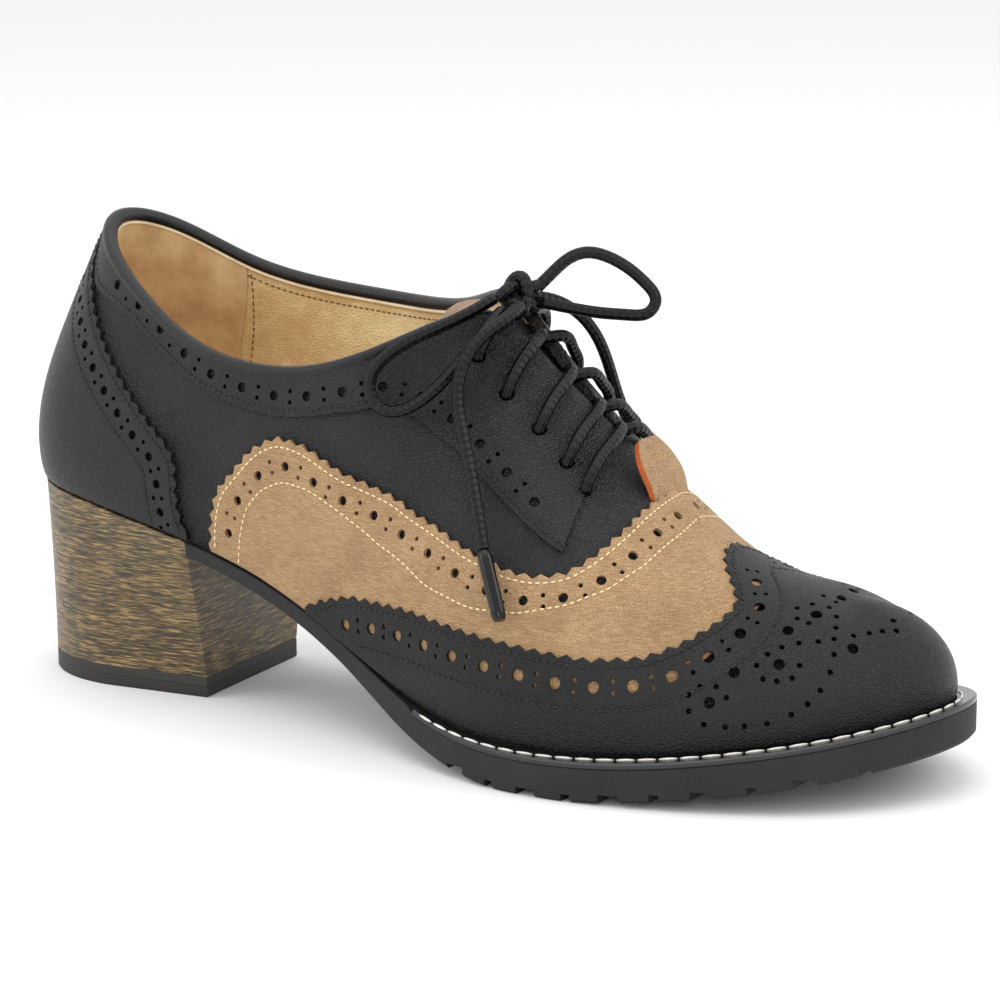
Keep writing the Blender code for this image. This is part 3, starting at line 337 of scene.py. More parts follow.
def leather(name, dark, light, grain, depth, roughness, combed=0.0, coat=0.0, sheen=0.42):
    """Leather: mottled dye, grain cells this many to a metre, and fine pores or combed streaks."""
    material, add, feed = blank_finish(name)
    where = add("ShaderNodeTexCoord").outputs["Object"]
    mottle = add("ShaderNodeTexNoise", {"Vector": where, "Scale": 90.0, "Detail": 6.0, "Roughness": 0.6})
    colour_by = mottle.outputs["Fac"]
    drift = add("ShaderNodeTexNoise", {"Vector": where, "Scale": grain * 0.5, "Detail": 3.0})
    bent = add("ShaderNodeVectorMath", {0: drift.outputs["Color"], "Scale": 1.2 / grain}, operation="SCALE")
    laid = add("ShaderNodeVectorMath", {0: where, 1: bent.outputs[0]}, operation="ADD")
    pebble = {"Vector": laid.outputs[0], "Scale": grain}
    cells = add("ShaderNodeTexVoronoi", pebble, feature="DISTANCE_TO_EDGE")
    furrow = add("ShaderNodeMapRange", {"Value": cells.outputs["Distance"], "From Max": 0.2})
    pores = add("ShaderNodeTexNoise", {"Vector": where, "Scale": grain * 1.6, "Detail": 6.0})
    height = add("ShaderNodeMath", {0: furrow.outputs[0], 1: pores.outputs["Fac"]}, operation="ADD")
    if combed:
        comb = {"Vector": where, "Rotation": (0.0, 0.5, 0.0), "Scale": (1.0, 1.4, 9.0)}
        lie = add("ShaderNodeMapping", comb)
        hairs = add("ShaderNodeTexNoise", {"Vector": lie.outputs[0], "Scale": 420.0, "Detail": 7.0})
        height = add("ShaderNodeMath", {0: hairs.outputs["Fac"], 1: height.outputs[0]}, operation="ADD")
        drawn = add("ShaderNodeMath", {0: hairs.outputs["Fac"], 1: combed}, operation="MULTIPLY")
        base = add("ShaderNodeMath", {0: colour_by, 1: 1.0 - combed}, operation="MULTIPLY")
        blended = add("ShaderNodeMath", {0: drawn.outputs[0], 1: base.outputs[0]}, operation="ADD")
        colour_by = blended.outputs[0]
    feed("Base Color", ramp(add, colour_by, dark, light, 0.36, 0.66))
    shine = {"Value": pores.outputs["Fac"], "To Min": roughness - 0.09, "To Max": roughness + 0.09}
    feed("Roughness", add("ShaderNodeMapRange", shine).outputs[0])
    bump = {"Height": height.outputs[0], "Strength": depth, "Distance": 0.00045}
    feed("Normal", add("ShaderNodeBump", bump).outputs[0])
    feed("Coat Weight", coat)
    feed("Coat Roughness", 0.25)
    feed("Specular IOR Level", sheen)
    return material


SMOOTH_BELOW = radians(38)  # faces that meet at a wider angle keep a sharp edge


def put(name, data):
    """A new object in the scene, at the origin, for a mesh, a lamp or the camera."""
    thing = bpy.data.objects.new(name, data)
    bpy.context.collection.objects.link(thing)
    return thing


def mesh_piece(name, points, faces, material):
    """A smooth-shaded piece at the origin, its doubled points made one and its faces turned outward."""
    mesh = bpy.data.meshes.new(name)
    mesh.from_pydata(np.asarray(points, float).tolist(), [], [tuple(map(int, face)) for face in faces])
    bm = bmesh.new()
    bm.from_mesh(mesh)
    bmesh.ops.remove_doubles(bm, verts=bm.verts, dist=2e-6)
    bmesh.ops.recalc_face_normals(bm, faces=bm.faces)
    bm.to_mesh(mesh)
    bm.free()
    mesh.materials.append(material)
    mesh.shade_smooth()
    mesh.set_sharp_from_angle(angle=SMOOTH_BELOW)
    return put(name, mesh)


def hand_over(piece, slot, *nodes):
    """Hang a finished piece on the shoe and hide any CAD nodes that it stands for; slot is not used."""
    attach(piece, "root")
    if nodes:
        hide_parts(*nodes)


def ring_faces(levels, count):
    """The faces between levels of rings with count points each."""
    faces = []
    for level in range(levels - 1):
        for k in range(count):
            a, b = level * count + k, level * count + (k + 1) % count
            faces.append((a, b, b + count, a + count))
    return faces


def stacked_rings(rings, closed=True):
    """Points and faces of a solid through rings of points, with its ends closed across the middle."""
    count, levels = len(rings[0]), len(rings)
    faces = ring_faces(levels, count)
    gap = 0 if closed else 1
    for start in (0, (levels - 1) * count):
        for k in range(count // 2):
            corners = (k, k + 1, (count - gap - k - 1) % count, (count - gap - k) % count)
            corners = list(dict.fromkeys(corners))
            if len(corners) > 2:
                faces.append(tuple(start + corner for corner in corners))
    return np.vstack(rings), faces


SOCK_STEPS = 8  # columns between two ribs
sock_leather = leather("golden_sock_leather", dye(160, 116, 68), dye(190, 148, 94), 900.0, 0.3, 0.6)
sock_ribs = np.arange(RIBS * SOCK_STEPS) / SOCK_STEPS
sock_rings = []
for sock_inset, sock_rise in ((0.0, 0.0), (0.0, INSOLE_THICKNESS - 0.0005), (0.0008, INSOLE_THICKNESS)):
    sock_plan = foot_line(sock_ribs, -(WALL + 2 * GAP) - sock_inset)[0]
    sock_rings.append(np.column_stack([sock_plan, feather_height(sock_plan[:, 0]) + sock_rise]))
insole_sock = mesh_piece("insole_sock", *stacked_rings(sock_rings), sock_leather)
hand_over(insole_sock, "lining_leather", "insole")

# THE QUARTERS. Two black calf quarters that close the shoe from the vamp back to the heel, with a row of
# five punched eyelets on each facing. They are stitched to the lining and lasted under the insole.

EYELET_RADIUS = 0.0018
PANEL_GRID = 1 / 12, 1 / 32  # steps between a panel's own points, in ribs and in shares
PLAN_SCALE = np.array([0.020, 0.060])  # a rib's and a share's rough size, for even triangles
LINE_STEP = 0.0012
FAR = 1.0
Eyelet = namedtuple("Eyelet", "rib share")
EYELETS = (
    Eyelet(6.35, 0.85),
    Eyelet(6.90, 0.81),
    Eyelet(7.32, 0.79),
    Eyelet(7.65, 0.76),
    Eyelet(7.88, 0.73),
)


def slopes(line):
    """How the last's face runs per rib and per share at points of a line."""
    u, v = line.T
    reach = 0.004
    low, high = np.clip(v - reach, 0, 1), np.clip(v + reach, 0, 1)
    by_rib = (bare_surface(u + reach, v) - bare_surface(u - reach, v)) / (2 * reach)
    by_share = (bare_surface(u, high) - bare_surface(u, low)) / (high - low)[:, None]
    return by_rib, by_share


def moved(line, shift):
    """Points of the last, as ribs and shares, after a small shift in metres."""
    pair = np.stack(slopes(line), axis=2)
    square = np.einsum("nki,nkj->nij", pair, pair) + np.eye(2) * 1e-10
    push = np.einsum("nki,nk->ni", pair, shift)
    place = line + np.linalg.solve(square, push[..., None])[..., 0]
    return np.column_stack([place[:, 0], np.clip(place[:, 1], 0.0, 1.0)])


def evenly(line, step):
    """The line again, with points about a step apart on the last."""
    line = np.asarray(line, float)
    fine = np.linspace(0, len(line) - 1, 12 * len(line))
    fine = np.column_stack([np.interp(fine, np.arange(len(line)), column) for column in line.T])
    length = length_along(bare_surface(*fine.T))
    places = np.linspace(0, length[-1], max(2, round(length[-1] / step) + 1))
    return np.column_stack([np.interp(places, length, column) for column in fine.T])


def eased(line, rounds=3):
    """A line of table points made a smooth one, with its ends kept."""
    line = evenly(line, LINE_STEP)
    for _ in range(rounds):
        line[1:-1] = (line[:-2] + 2 * line[1:-1] + line[2:]) / 4
    return line


def leftward(line):
    """Unit directions in the leather's face, to the left of the way a line runs."""
    along = np.gradient(bare_surface(*line.T), axis=0)
    return unit(np.cross(surface_normal(line[:, 0] % RIBS, line[:, 1]), along))


def beside(line, distance):
    """A line that runs beside another, to its left by distance, moved there by short steps."""
    steps = max(1, int(np.ceil(abs(distance) / 0.0015)))
    for _ in range(steps):
        line = eased(moved(line, leftward(line) * distance / steps), 2)
    return line


def round_holes(holes, sides=10):
    """The corners of round holes, each given as its place on the last and its radius."""
    if not holes:
        return []
    places = np.array([place for place, _ in holes], float)
    radii = np.array([radius for _, radius in holes])[:, None, None]
    first = unit(slopes(places)[0])
    second = np.cross(surface_normal(places[:, 0] % RIBS, places[:, 1]), first)
    turn = np.arange(sides)[None, :, None] * 2 * pi / sides
    shift = radii * (np.cos(turn) * first[:, None] + np.sin(turn) * second[:, None])
    corners = moved(np.repeat(places, sides, axis=0), shift.reshape(-1, 3))
    return list(corners.reshape(len(holes), sides, 2))


def inside(places, outline):
    """Whether flat places lie inside a closed outline."""
    x, y = places.T[:, :, None]
    x1, y1 = outline.T[:, None, :]
    x2, y2 = np.roll(outline, -1, axis=0).T[:, None, :]
    rising = (y1 > y) != (y2 > y)
    crossing = x1 + (y - y1) * (x2 - x1) / np.where(y1 == y2, 1.0, y2 - y1)
    return (rising & (x < crossing)).sum(axis=1) % 2 == 1


def nearest(places, others):
    """Distance from each place to the nearest of others, in space."""
    parts = np.array_split(places, 12)  # so that the table of distances stays small
    near = [np.linalg.norm(part[:, None] - others[None], axis=2).min(axis=1) for part in parts]
    return np.concatenate(near)


def on_seam(line):
    """Where a half panel meets its mirrored half: the back seam, the toe line and the crown."""
    crown = (line[:, 1] > 1 - 1e-6) & (line[:, 0] >= THROAT)
    return crown | (abs(line[:, 0] - TOE) < 1e-6) | (abs(line[:, 0]) < 1e-6)


def cut_panel(outline, holes=(), grooves=()):
    """The outer half of a panel: its points, triangles, and distances to rim and groove."""
    outline = np.asarray(outline, float)
    rings = round_holes(holes)
    low, high = outline.min(axis=0), outline.max(axis=0)
    grid = [np.arange(low[k] + PANEL_GRID[k] / 2, high[k], PANEL_GRID[k]) for k in (0, 1)]
    loose = [np.stack(np.meshgrid(*grid, indexing="ij"), axis=-1).reshape(-1, 2)]
    rim = outline[~on_seam(outline)]
    loose += [moved(line, leftward(line) * aside) for line in grooves for aside in (-0.0006, 0.0, 0.0006)]
    loose = np.vstack(loose)
    loose = loose[inside(loose, outline)]
    spots = on_last(*loose.T)
    clear = nearest(spots, on_last(*outline.T)) > 0.0005
    if holes:
        middles = on_last(*np.array([place for place, _ in holes]).T)
        for middle, (_, radius) in zip(middles, holes):
            clear &= np.linalg.norm(spots - middle, axis=1) > radius + 0.0004
    corners = np.vstack([outline, *rings, loose[clear]])
    edges, ring_of, start = [], np.full(len(corners), -1), 0
    for number, loop in enumerate([outline, *rings]):
        count = len(loop)
        edges += [(start + k, start + (k + 1) % count) for k in range(count)]
        ring_of[start : start + count] = number
        start += count
    flat = [Vector(corner) for corner in (corners * PLAN_SCALE).tolist()]
    places, _, triangles, sources, _, _ = delaunay_2d_cdt(flat, edges, [], 0, 1e-7)
    places = np.array([tuple(place) for place in places]) / PLAN_SCALE
    loops = np.array([ring_of[source[0]] if source else -1 for source in sources])
    triangles = np.array(triangles)
    in_hole = (loops[triangles[:, 0]] > 0) & (np.ptp(loops[triangles], axis=1) == 0)
    kept = inside(places[triangles].mean(axis=1), outline) & ~in_hole
    triangles = triangles[kept]
    used, triangles = np.unique(triangles, return_inverse=True)
    places, triangles = places[used], triangles.reshape(-1, 3)
    spots = on_last(*places.T)
    far = np.full(len(places), FAR)
    to_rim = nearest(spots, on_last(*rim.T)) if len(rim) else far
    to_groove = nearest(spots, on_last(*np.vstack(grooves).T)) if len(grooves) else far
    return places, triangles, to_rim, to_groove


def lay_panel(name, cut, under, over, material, sides=(1, -1), rolled=0.0003, sunk=0.00016):
    """Lay a cut panel on the last between two depths, on its outer side, its inner side or both.

    The rim is rolled down a little, and the leather is sunk along the rows of stitches.
    """
    places, triangles, to_rim, to_groove = cut
    lowered = rolled * np.exp(-((to_rim / 0.0007) ** 2)) + sunk * np.exp(-((to_groove / 0.0004) ** 2))
    seam = on_seam(places)
    points, faces = [], []
    for side in sides:
        ribs = places[:, 0] * side % RIBS
        start, count = sum(map(len, points)), len(places)
        points += [on_last(ribs, places[:, 1], over - lowered), on_last(ribs, places[:, 1], under)]
        upward = triangles if side == 1 else triangles[:, ::-1]
        faces += (start + upward).tolist() + (start + count + upward[:, ::-1]).tolist()
        edges = np.vstack([upward[:, [0, 1]], upward[:, [1, 2]], upward[:, [2, 0]]])
        keys = np.sort(edges, axis=1) @ [count, 1]
        _, first, times = np.unique(keys, return_index=True, return_counts=True)
        for a, b in edges[first[times == 1]]:
            if not (seam[a] and seam[b]):
                faces.append((start + b, start + a, start + count + a, start + count + b))
    return mesh_piece(name, np.vstack(points), faces, material)


eyelet_holes = [((eyelet.rib, eyelet.share), EYELET_RADIUS) for eyelet in EYELETS]
side_foot = [(u, 0.0) for u in np.linspace(0, TOE, 120)]
side_toe = [(TOE, v) for v in np.linspace(0, 1, 30)[1:]]
side_top = [(u, 1.0) for u in np.linspace(TOE, 0, 160)[1:]]
side_back = [(0.0, v) for v in np.linspace(1, 0, 30)[1:-1]]
whole_side = side_foot + side_toe + side_top + side_back
black_calf = leather("black_calf", dye(6, 6, 7), dye(17, 17, 20), 1300.0, 0.5, 0.38, sheen=0.38)
side_cut = cut_panel(whole_side, eyelet_holes)
QUARTER_DEPTH = 0.0009
quarters = lay_panel("quarters", side_cut, -QUARTER_DEPTH, 0.0, black_calf, rolled=0.0)
hand_over(quarters, "black_leather", "upper")

# THE LINING. Golden tan pig lining in the forepart and the quarters, with a browner suede grip in the
# heel. It is glued behind the quarters and stitched to them all round the collar.

lining_leather = leather("golden_lining", dye(226, 188, 130), dye(250, 226, 172), 1200.0, 0.5, 0.6)
lining = lay_panel("quarter_lining", side_cut, -WALL, -QUARTER_DEPTH - 0.00005, lining_leather, rolled=0.0)
hand_over(lining, "lining_leather", "upper")
FACING_RIBS = np.linspace(6.4, 9.2, 300)
facing_front = np.vstack([on_last(FACING_RIBS * side % RIBS, 1.0, -0.8 * WALL) for side in (1, -1)])
lining.data.materials.append(black_calf)
for face in lining.data.polygons:
    if np.min(np.linalg.norm(facing_front - face.center, axis=1)) < WALL:
        face.material_index = 1  # the cut edge along the lacing is inked black
heel_suede = leather("brown_heel_suede", dye(208, 168, 118), dye(244, 212, 160), 2200.0, 0.4, 0.85)
HEEL_LINING_FRONT = ((0.0, 0.04), (2.35, 0.04), (2.14, 0.30), (1.95, 0.60), (1.90, 0.97), (0.0, 0.97))
heel_lining_edge = np.vstack([evenly(HEEL_LINING_FRONT[k : k + 2], 0.002)[:-1] for k in range(5)])
heel_lining_edge = np.vstack([heel_lining_edge, evenly([(0.0, 0.97), (0.0, 0.04)], 0.002)[:-1]])
heel_grip = lay_panel(
    "heel_grip", cut_panel(heel_lining_edge), -WALL - 0.00045, -WALL - 0.00003, heel_suede, rolled=0.0
)
hand_over(heel_grip, "lining_leather")

# THE COLLAR. A rolled black binding strip folded over the topline and a cream piping inside it. A row of
# brown thread holds both to the quarter and the lining, just under the roll.

COLLAR_FRONT = 6.45
COLLAR_ROLL = (  # how far below the topline and how far out from the quarter's face, in millimetres
    (1.9, 1.0),
    (1.3, 1.35),
    (0.4, 1.4),
    (-0.4, 1.05),
    (-0.9, 0.2),
    (-0.9, -0.9),
    (-0.4, -1.8),
    (0.4, -2.3),
    (1.3, -2.25),
    (1.9, -1.85),
)
PIPING_MIDDLE, PIPING_RADIUS = (2.0, -2.1), 0.45
MILLIMETRE = 0.001


def swept(name, ribs, profile, material):
    """A strip of one profile, swept along the topline: how far down and how far out at each corner."""
    line = np.column_stack([ribs, np.ones(len(ribs))])
    upward = unit(on_last(ribs, 1.0) - on_last(ribs, 0.96))
    outward = surface_normal(ribs % RIBS, line[:, 1])
    edge = on_last(ribs, 1.0)
    count = len(profile)
    rows = [edge + (outward * out - upward * down) * MILLIMETRE for down, out in profile]
    points = np.stack(rows, axis=1).reshape(-1, 3)
    faces = ring_faces(len(ribs), count)
    faces += [tuple(range(count)), tuple(range(len(points) - count, len(points)))]
    return mesh_piece(name, points, faces, material)


def stitch_tree():
    """Geometry nodes that lay one small bead of thread at each point, along its row and off the leather."""
    tree = bpy.data.node_groups.new("row_of_stitches", "GeometryNodeTree")
    tree.interface.new_socket("Points", in_out="INPUT", socket_type="NodeSocketGeometry")
    for label in ("Stitch length", "Thread width", "Thread height"):
        tree.interface.new_socket(label, in_out="INPUT", socket_type="NodeSocketFloat")
    tree.interface.new_socket("Thread", in_out="INPUT", socket_type="NodeSocketMaterial")
    tree.interface.new_socket("Row", in_out="OUTPUT", socket_type="NodeSocketGeometry")
    nodes, link = tree.nodes, tree.links.new
    given, row = nodes.new("NodeGroupInput"), nodes.new("NodeGroupOutput")
    bead = nodes.new("GeometryNodeMeshUVSphere")
    bead.inputs["Segments"].default_value = 8
    bead.inputs["Rings"].default_value = 6
    bead.inputs["Radius"].default_value = 0.5
    size = nodes.new("ShaderNodeCombineXYZ")
    for k, label in enumerate(("Stitch length", "Thread width", "Thread height")):
        link(given.outputs[label], size.inputs[k])
    turn = None
    for axis, attribute in (("X", "along"), ("Z", "off_leather")):
        direction = nodes.new("GeometryNodeInputNamedAttribute")
        direction.data_type = "FLOAT_VECTOR"
        direction.inputs["Name"].default_value = attribute
        align = nodes.new("FunctionNodeAlignRotationToVector")
        align.axis = axis
        align.pivot_axis = "AUTO" if turn is None else "X"
        link(direction.outputs["Attribute"], align.inputs["Vector"])
        if turn is not None:
            link(turn, align.inputs["Rotation"])
        turn = align.outputs["Rotation"]
    copies = nodes.new("GeometryNodeInstanceOnPoints")
    link(given.outputs["Points"], copies.inputs["Points"])
    link(bead.outputs["Mesh"], copies.inputs["Instance"])
    link(turn, copies.inputs["Rotation"])
    link(size.outputs[0], copies.inputs["Scale"])
    realised = nodes.new("GeometryNodeRealizeInstances")
    link(copies.outputs[0], realised.inputs[0])
    thread = nodes.new("GeometryNodeSetMaterial")
    link(realised.outputs[0], thread.inputs["Geometry"])
    link(given.outputs["Thread"], thread.inputs["Material"])
    link(thread.outputs[0], row.inputs[0])
    return tree


stitches = stitch_tree()


def made_plain(obj, tree, inputs, name):
    """The tree's result on an object, as a plain mesh piece at the origin."""
    modifier = obj.modifiers.new(tree.name, "NODES")
    modifier.node_group = tree
    for item in tree.interface.items_tree:
        if item.item_type == "SOCKET" and item.in_out == "INPUT" and item.name in inputs:
            modifier[item.identifier] = inputs[item.name]
    graph = bpy.context.evaluated_depsgraph_get()
    mesh = bpy.data.meshes.new_from_object(obj.evaluated_get(graph))
    obj.modifiers.remove(modifier)
    bpy.data.objects.remove(obj)
    mesh.shade_smooth()
    return put(name, mesh)


def sew(name, rows, thread, length=0.0013, width=0.00042, height=0.00034, gap=0.0004):
    """Sew rows of stitches; each row is its points in space and the directions off the leather there."""
    places, along, off = [], [], []
    for line, normals in rows:
        way = length_along(line)
        count = max(2, int(way[-1] / (length + gap)))
        stops = (np.arange(count) + 0.5) * way[-1] / count
        shifts = 0, -length / 2, length / 2
        at, before, after = ([np.interp(stops + shift, way, column) for column in line.T] for shift in shifts)
        places.append(np.column_stack(at))
        along.append(np.column_stack(after) - np.column_stack(before))
        off.append(np.column_stack([np.interp(stops, way, c) for c in normals.T]))
    mesh = bpy.data.meshes.new(name + "_points")
    mesh.from_pydata(np.vstack(places).tolist(), [], [])
    for label, vectors in (("along", along), ("off_leather", off)):
        attribute = mesh.attributes.new(label, "FLOAT_VECTOR", "POINT")
        attribute.data.foreach_set("vector", np.vstack(vectors).astype(np.float32).ravel())
    points = put(name + "_points", mesh)
    inputs = {"Stitch length": length, "Thread width": width, "Thread height": height, "Thread": thread}
    return made_plain(points, stitches, inputs, name)


def seam_rows(lines, depth, sides=(1, -1), facing=1):
    """Rows on the last for sew(): lines in ribs and shares, at a depth, on one side or both."""
    rows = []
    for line in lines:
        for side in sides:
            ribs = line[:, 0] * side
            rows.append((on_last(ribs, line[:, 1], depth), surface_normal(ribs % RIBS, line[:, 1]) * facing))
    return rows


def waxed_thread(name, dark, light, roughness=0.6):
    """Waxed linen thread: two twisted strands that catch the light unevenly."""
    material, add, feed = blank_finish(name)
    where = add("ShaderNodeTexCoord").outputs["Object"]
    twist = add("ShaderNodeTexNoise", {"Vector": where, "Scale": 3500.0, "Detail": 3.0})
    feed("Base Color", ramp(add, twist.outputs["Fac"], dark, light))
    feed("Roughness", roughness)
    bump = {"Height": twist.outputs["Fac"], "Strength": 0.4, "Distance": 0.0001}
    feed("Normal", add("ShaderNodeBump", bump).outputs[0])
    return material


binding_leather = leather(
    "black_binding", dye(6, 6, 7), dye(16, 16, 18), 1300.0, 0.25, 0.3, coat=0.1, sheen=0.3
)
collar_ribs = np.linspace(-COLLAR_FRONT, COLLAR_FRONT, 420)
collar_binding = swept("collar_binding", collar_ribs, COLLAR_ROLL, binding_leather)
hand_over(collar_binding, "black_leather")
piping_ring = [
    (PIPING_MIDDLE[0] + PIPING_RADIUS * cos(turn), PIPING_MIDDLE[1] + PIPING_RADIUS * sin(turn))
    for turn in np.arange(8) * pi / 4
]
cream_piping_leather = leather("cream_piping", dye(214, 190, 150), dye(238, 220, 184), 1800.0, 0.2, 0.5)
piping = swept("collar_piping", collar_ribs, piping_ring, cream_piping_leather)
hand_over(piping, "lining_leather")
brown_thread = waxed_thread("brown_thread", dye(96, 60, 30), dye(140, 92, 50))
topline = np.column_stack([np.linspace(0.02, 6.2, 90), np.full(90, 0.995)])
lining_row = [beside(topline, -0.0034)]
seat_line = np.column_stack([np.linspace(1.95, 2.20, 40), np.linspace(0.94, 0.40, 40)])
collar_rows = seam_rows(lining_row, -WALL - 0.0001, facing=-1)
collar_rows += seam_rows([seat_line], -WALL - 0.0001, facing=-1)
collar_stitches = sew("lining_stitches", collar_rows, brown_thread)
hand_over(collar_stitches, "lining_leather")

# THE TONGUE. A padded black tongue that runs under the facings, with a taupe pinked piece sewn on its
# free top end. It is caught under the vamp at the throat.

TONGUE_THICKNESS = 0.0020
TongueRow = namedtuple("TongueRow", "rib share back up inward width")
# The tongue follows the inside of the facings from rib to rib and share to centre. Its free end is the
# section of the first rib moved by back, up and inward, in shares of BALL_WIDTH, and narrowed by width.
TONGUE = (
    TongueRow(6.25, 0.76, 0.230, 0.000, 0.070, 0.45),
    TongueRow(6.25, 0.76, 0.160, 0.020, 0.050, 0.70),
    TongueRow(6.25, 0.76, 0.080, 0.020, 0.020, 0.86),
    TongueRow(6.25, 0.76, 0.000, 0.000, 0.000, 1.00),
    TongueRow(6.70, 0.74, 0.000, 0.000, 0.000, 1.00),
    TongueRow(7.20, 0.72, 0.000, 0.000, 0.000, 1.00),
    TongueRow(7.70, 0.72, 0.000, 0.000, 0.000, 1.00),
    TongueRow(8.20, 0.74, 0.000, 0.000, 0.000, 1.00),
    TongueRow(8.60, 0.78, 0.000, 0.000, 0.000, 1.00),
)
TONGUE_ACROSS = 9  # points from each edge to the middle
CAP_OF_TONGUE = 2.75  # rows of the table that the taupe piece covers
TAUPE_TOOTH = 0.09  # how far every second point of its edge stands out, in rows of the table
TAUPE_DEPTHS = -0.0009, -0.0001  # its face and its underside


def tongue_line(row, depth):
    """One line of points across the tongue, depth below the inside of the facings."""
    share = np.linspace(row.share, 1, TONGUE_ACROSS)
    offset = -(WALL + 2 * GAP + depth)
    outer = surface(np.full(len(share), row.rib), share, offset)
    inner = surface(np.full(len(share), RIBS - row.rib), share, offset)
    line = np.vstack([outer[:-1], (outer[-1:] + inner[-1:]) / 2, inner[-2::-1]])
    middle = line[TONGUE_ACROSS - 1]
    line = middle + (line - middle) * [1.0, row.width, row.width]
    return line + np.array([-row.back, row.inward, row.up]) * BALL_WIDTH


def tongue_face(depth):
    """The tongue's smooth face at a depth, as a function of the table's row."""
    lines = np.array([tongue_line(row, depth) for row in TONGUE])
    through = spline(range(len(lines)), lines.reshape(len(lines), -1))
    return lambda rows: through(rows).reshape(len(np.atleast_1d(rows)), -1, 3)


def slab(name, over, under, material, rim_material=None):
    """A closed sheet between two grids of points, with a rim that may have its own finish."""
    rows, columns = over.shape[:2]
    count = rows * columns
    grid = np.arange(count).reshape(rows, columns)
    quads = np.stack([grid[:-1, :-1], grid[:-1, 1:], grid[1:, 1:], grid[1:, :-1]], axis=-1).reshape(-1, 4)
    border = np.concatenate([grid[0, :-1], grid[:-1, -1], grid[-1, :0:-1], grid[:0:-1, 0]])
    ahead = np.roll(border, -1)
    rim = np.column_stack([ahead, border, border + count, ahead + count])
    faces = np.vstack([quads, quads[:, ::-1] + count, rim])
    piece = mesh_piece(name, np.vstack([over.reshape(-1, 3), under.reshape(-1, 3)]), faces, material)
    if rim_material is not None:
        piece.data.materials.append(rim_material)
        for face in piece.data.polygons[2 * len(quads) :]:
            face.material_index = 1
    return piece


tongue_rows = np.linspace(0, len(TONGUE) - 1, 90)
tongue_faces = [tongue_face(depth)(tongue_rows) for depth in (0.0, TONGUE_THICKNESS)]
tongue = slab("tongue_pad", *tongue_faces, black_calf)
hand_over(tongue, "black_leather", "tongue")
taupe_rows = np.linspace(0.02, CAP_OF_TONGUE, 40)
tooth_rows = CAP_OF_TONGUE + TAUPE_TOOTH * (np.arange(2 * TONGUE_ACROSS - 1) % 2)
taupe_faces = []
for depth in TAUPE_DEPTHS:
    face_at = tongue_face(depth)
    taupe_faces.append(face_at(taupe_rows))
    for column, row in enumerate(tooth_rows):
        taupe_faces[-1][-1, column] = face_at(row)[0, column]
taupe_leather = leather("taupe_leather", dye(130, 100, 76), dye(164, 132, 102), 1300.0, 0.3, 0.5)
tongue_top = slab("tongue_top_piece", *taupe_faces, taupe_leather)
hand_over(tongue_top, "tan_leather")
cream_thread = waxed_thread("cream_thread", dye(214, 190, 138), dye(244, 228, 180))
taupe_line = tongue_face(-0.0010)(np.array([CAP_OF_TONGUE - 0.3]))[0][1:-1]
taupe_side = tongue_face(-0.0010)(np.linspace(0.3, CAP_OF_TONGUE - 0.3, 20))
tongue_up = Vector((-0.45, 0.0, 0.9))
taupe_seams = (taupe_line, taupe_side[:, 1], taupe_side[:, -2])
taupe_rows_sewn = [(line, np.tile(tongue_up, (len(line), 1))) for line in taupe_seams]
tongue_stitches = sew("tongue_stitches", taupe_rows_sewn, cream_thread, length=0.0012)
hand_over(tongue_stitches, "tan_leather")

# THE HEEL COUNTER. A black calf overlay round the heel. Its pinked front edges are punched with a row of
# one large and two small holes, and it is sewn on with black thread along the edge and behind the row.

PINKING_PITCH = 0.0037
PINKING_DEPTH = 0.0011
EDGE_ROW = 0.0016  # from a panel's edge to the first row of stitches
SMALL_HOLE = 0.00055
OVERLAY_FOOT = 0.02
Edge = namedtuple("Edge", "rib share")
COUNTER_EDGE = (
    Edge(0.00, 0.995),
    Edge(0.25, 0.985),
    Edge(0.55, 0.92),
    Edge(1.08, 0.82),
    Edge(1.65, 0.71),
    Edge(2.40, 0.58),
    Edge(2.98, 0.46),
    Edge(3.12, 0.38),
    Edge(3.20, 0.22),
    Edge(3.28, 0.10),
    Edge(3.34, 0.04),
)


def pinked(line, side=1):
    """A pinked edge: even teeth whose tips stand out to the line's left, or right for side -1."""
    even = evenly(line, PINKING_PITCH / 2)
    tooth = (np.arange(len(even)) % 2 - 0.5) * PINKING_DEPTH * side
    tooth[[0, -1]] = 0
    return moved(even, leftward(even) * tooth[:, None])


def punched_row(line, pitch, large, spread=0.00125):
    """Places and radii of a row of holes: a large one at each pitch and a pair across the row between."""
    row = evenly(line, pitch / 2)
    aside = leftward(row) * spread
    pairs = np.vstack([moved(row, aside)[2:-1:2], moved(row, -aside)[2:-1:2]])
    return [(place, large) for place in row[1:-1:2]] + [(place, SMALL_HOLE) for place in pairs]


def above(line, share):
    """The part of a line that stays above a share."""
    return line[line[:, 1] > share]


counter_edge = eased(COUNTER_EDGE)
counter_rim = np.vstack(
    [
        [(u, OVERLAY_FOOT) for u in np.linspace(0, COUNTER_EDGE[-1].rib, 40)],
        pinked(counter_edge[::-1], -1)[1:],
        [(0.0, v) for v in np.linspace(COUNTER_EDGE[0].share, OVERLAY_FOOT, 30)[1:-1]],
    ]
)
COUNTER_PUNCHING, COUNTER_SECOND_ROW = 0.0052, 0.0088  # from the edge to the holes and the second row
COUNTER_PITCH, COUNTER_HOLE = 0.0068, 0.0011
COUNTER_TOP = 0.0014
THREAD_SUNK = 0.00005  # how deep a row of stitches lies in the leather
LAID_ON = 0.00005  # how far over the quarter an overlay's underside lies
counter_holes = punched_row(beside(counter_edge, -COUNTER_PUNCHING), COUNTER_PITCH, COUNTER_HOLE)
counter_rows = [above(beside(counter_edge, -distance), 0.03) for distance in (EDGE_ROW, COUNTER_SECOND_ROW)]
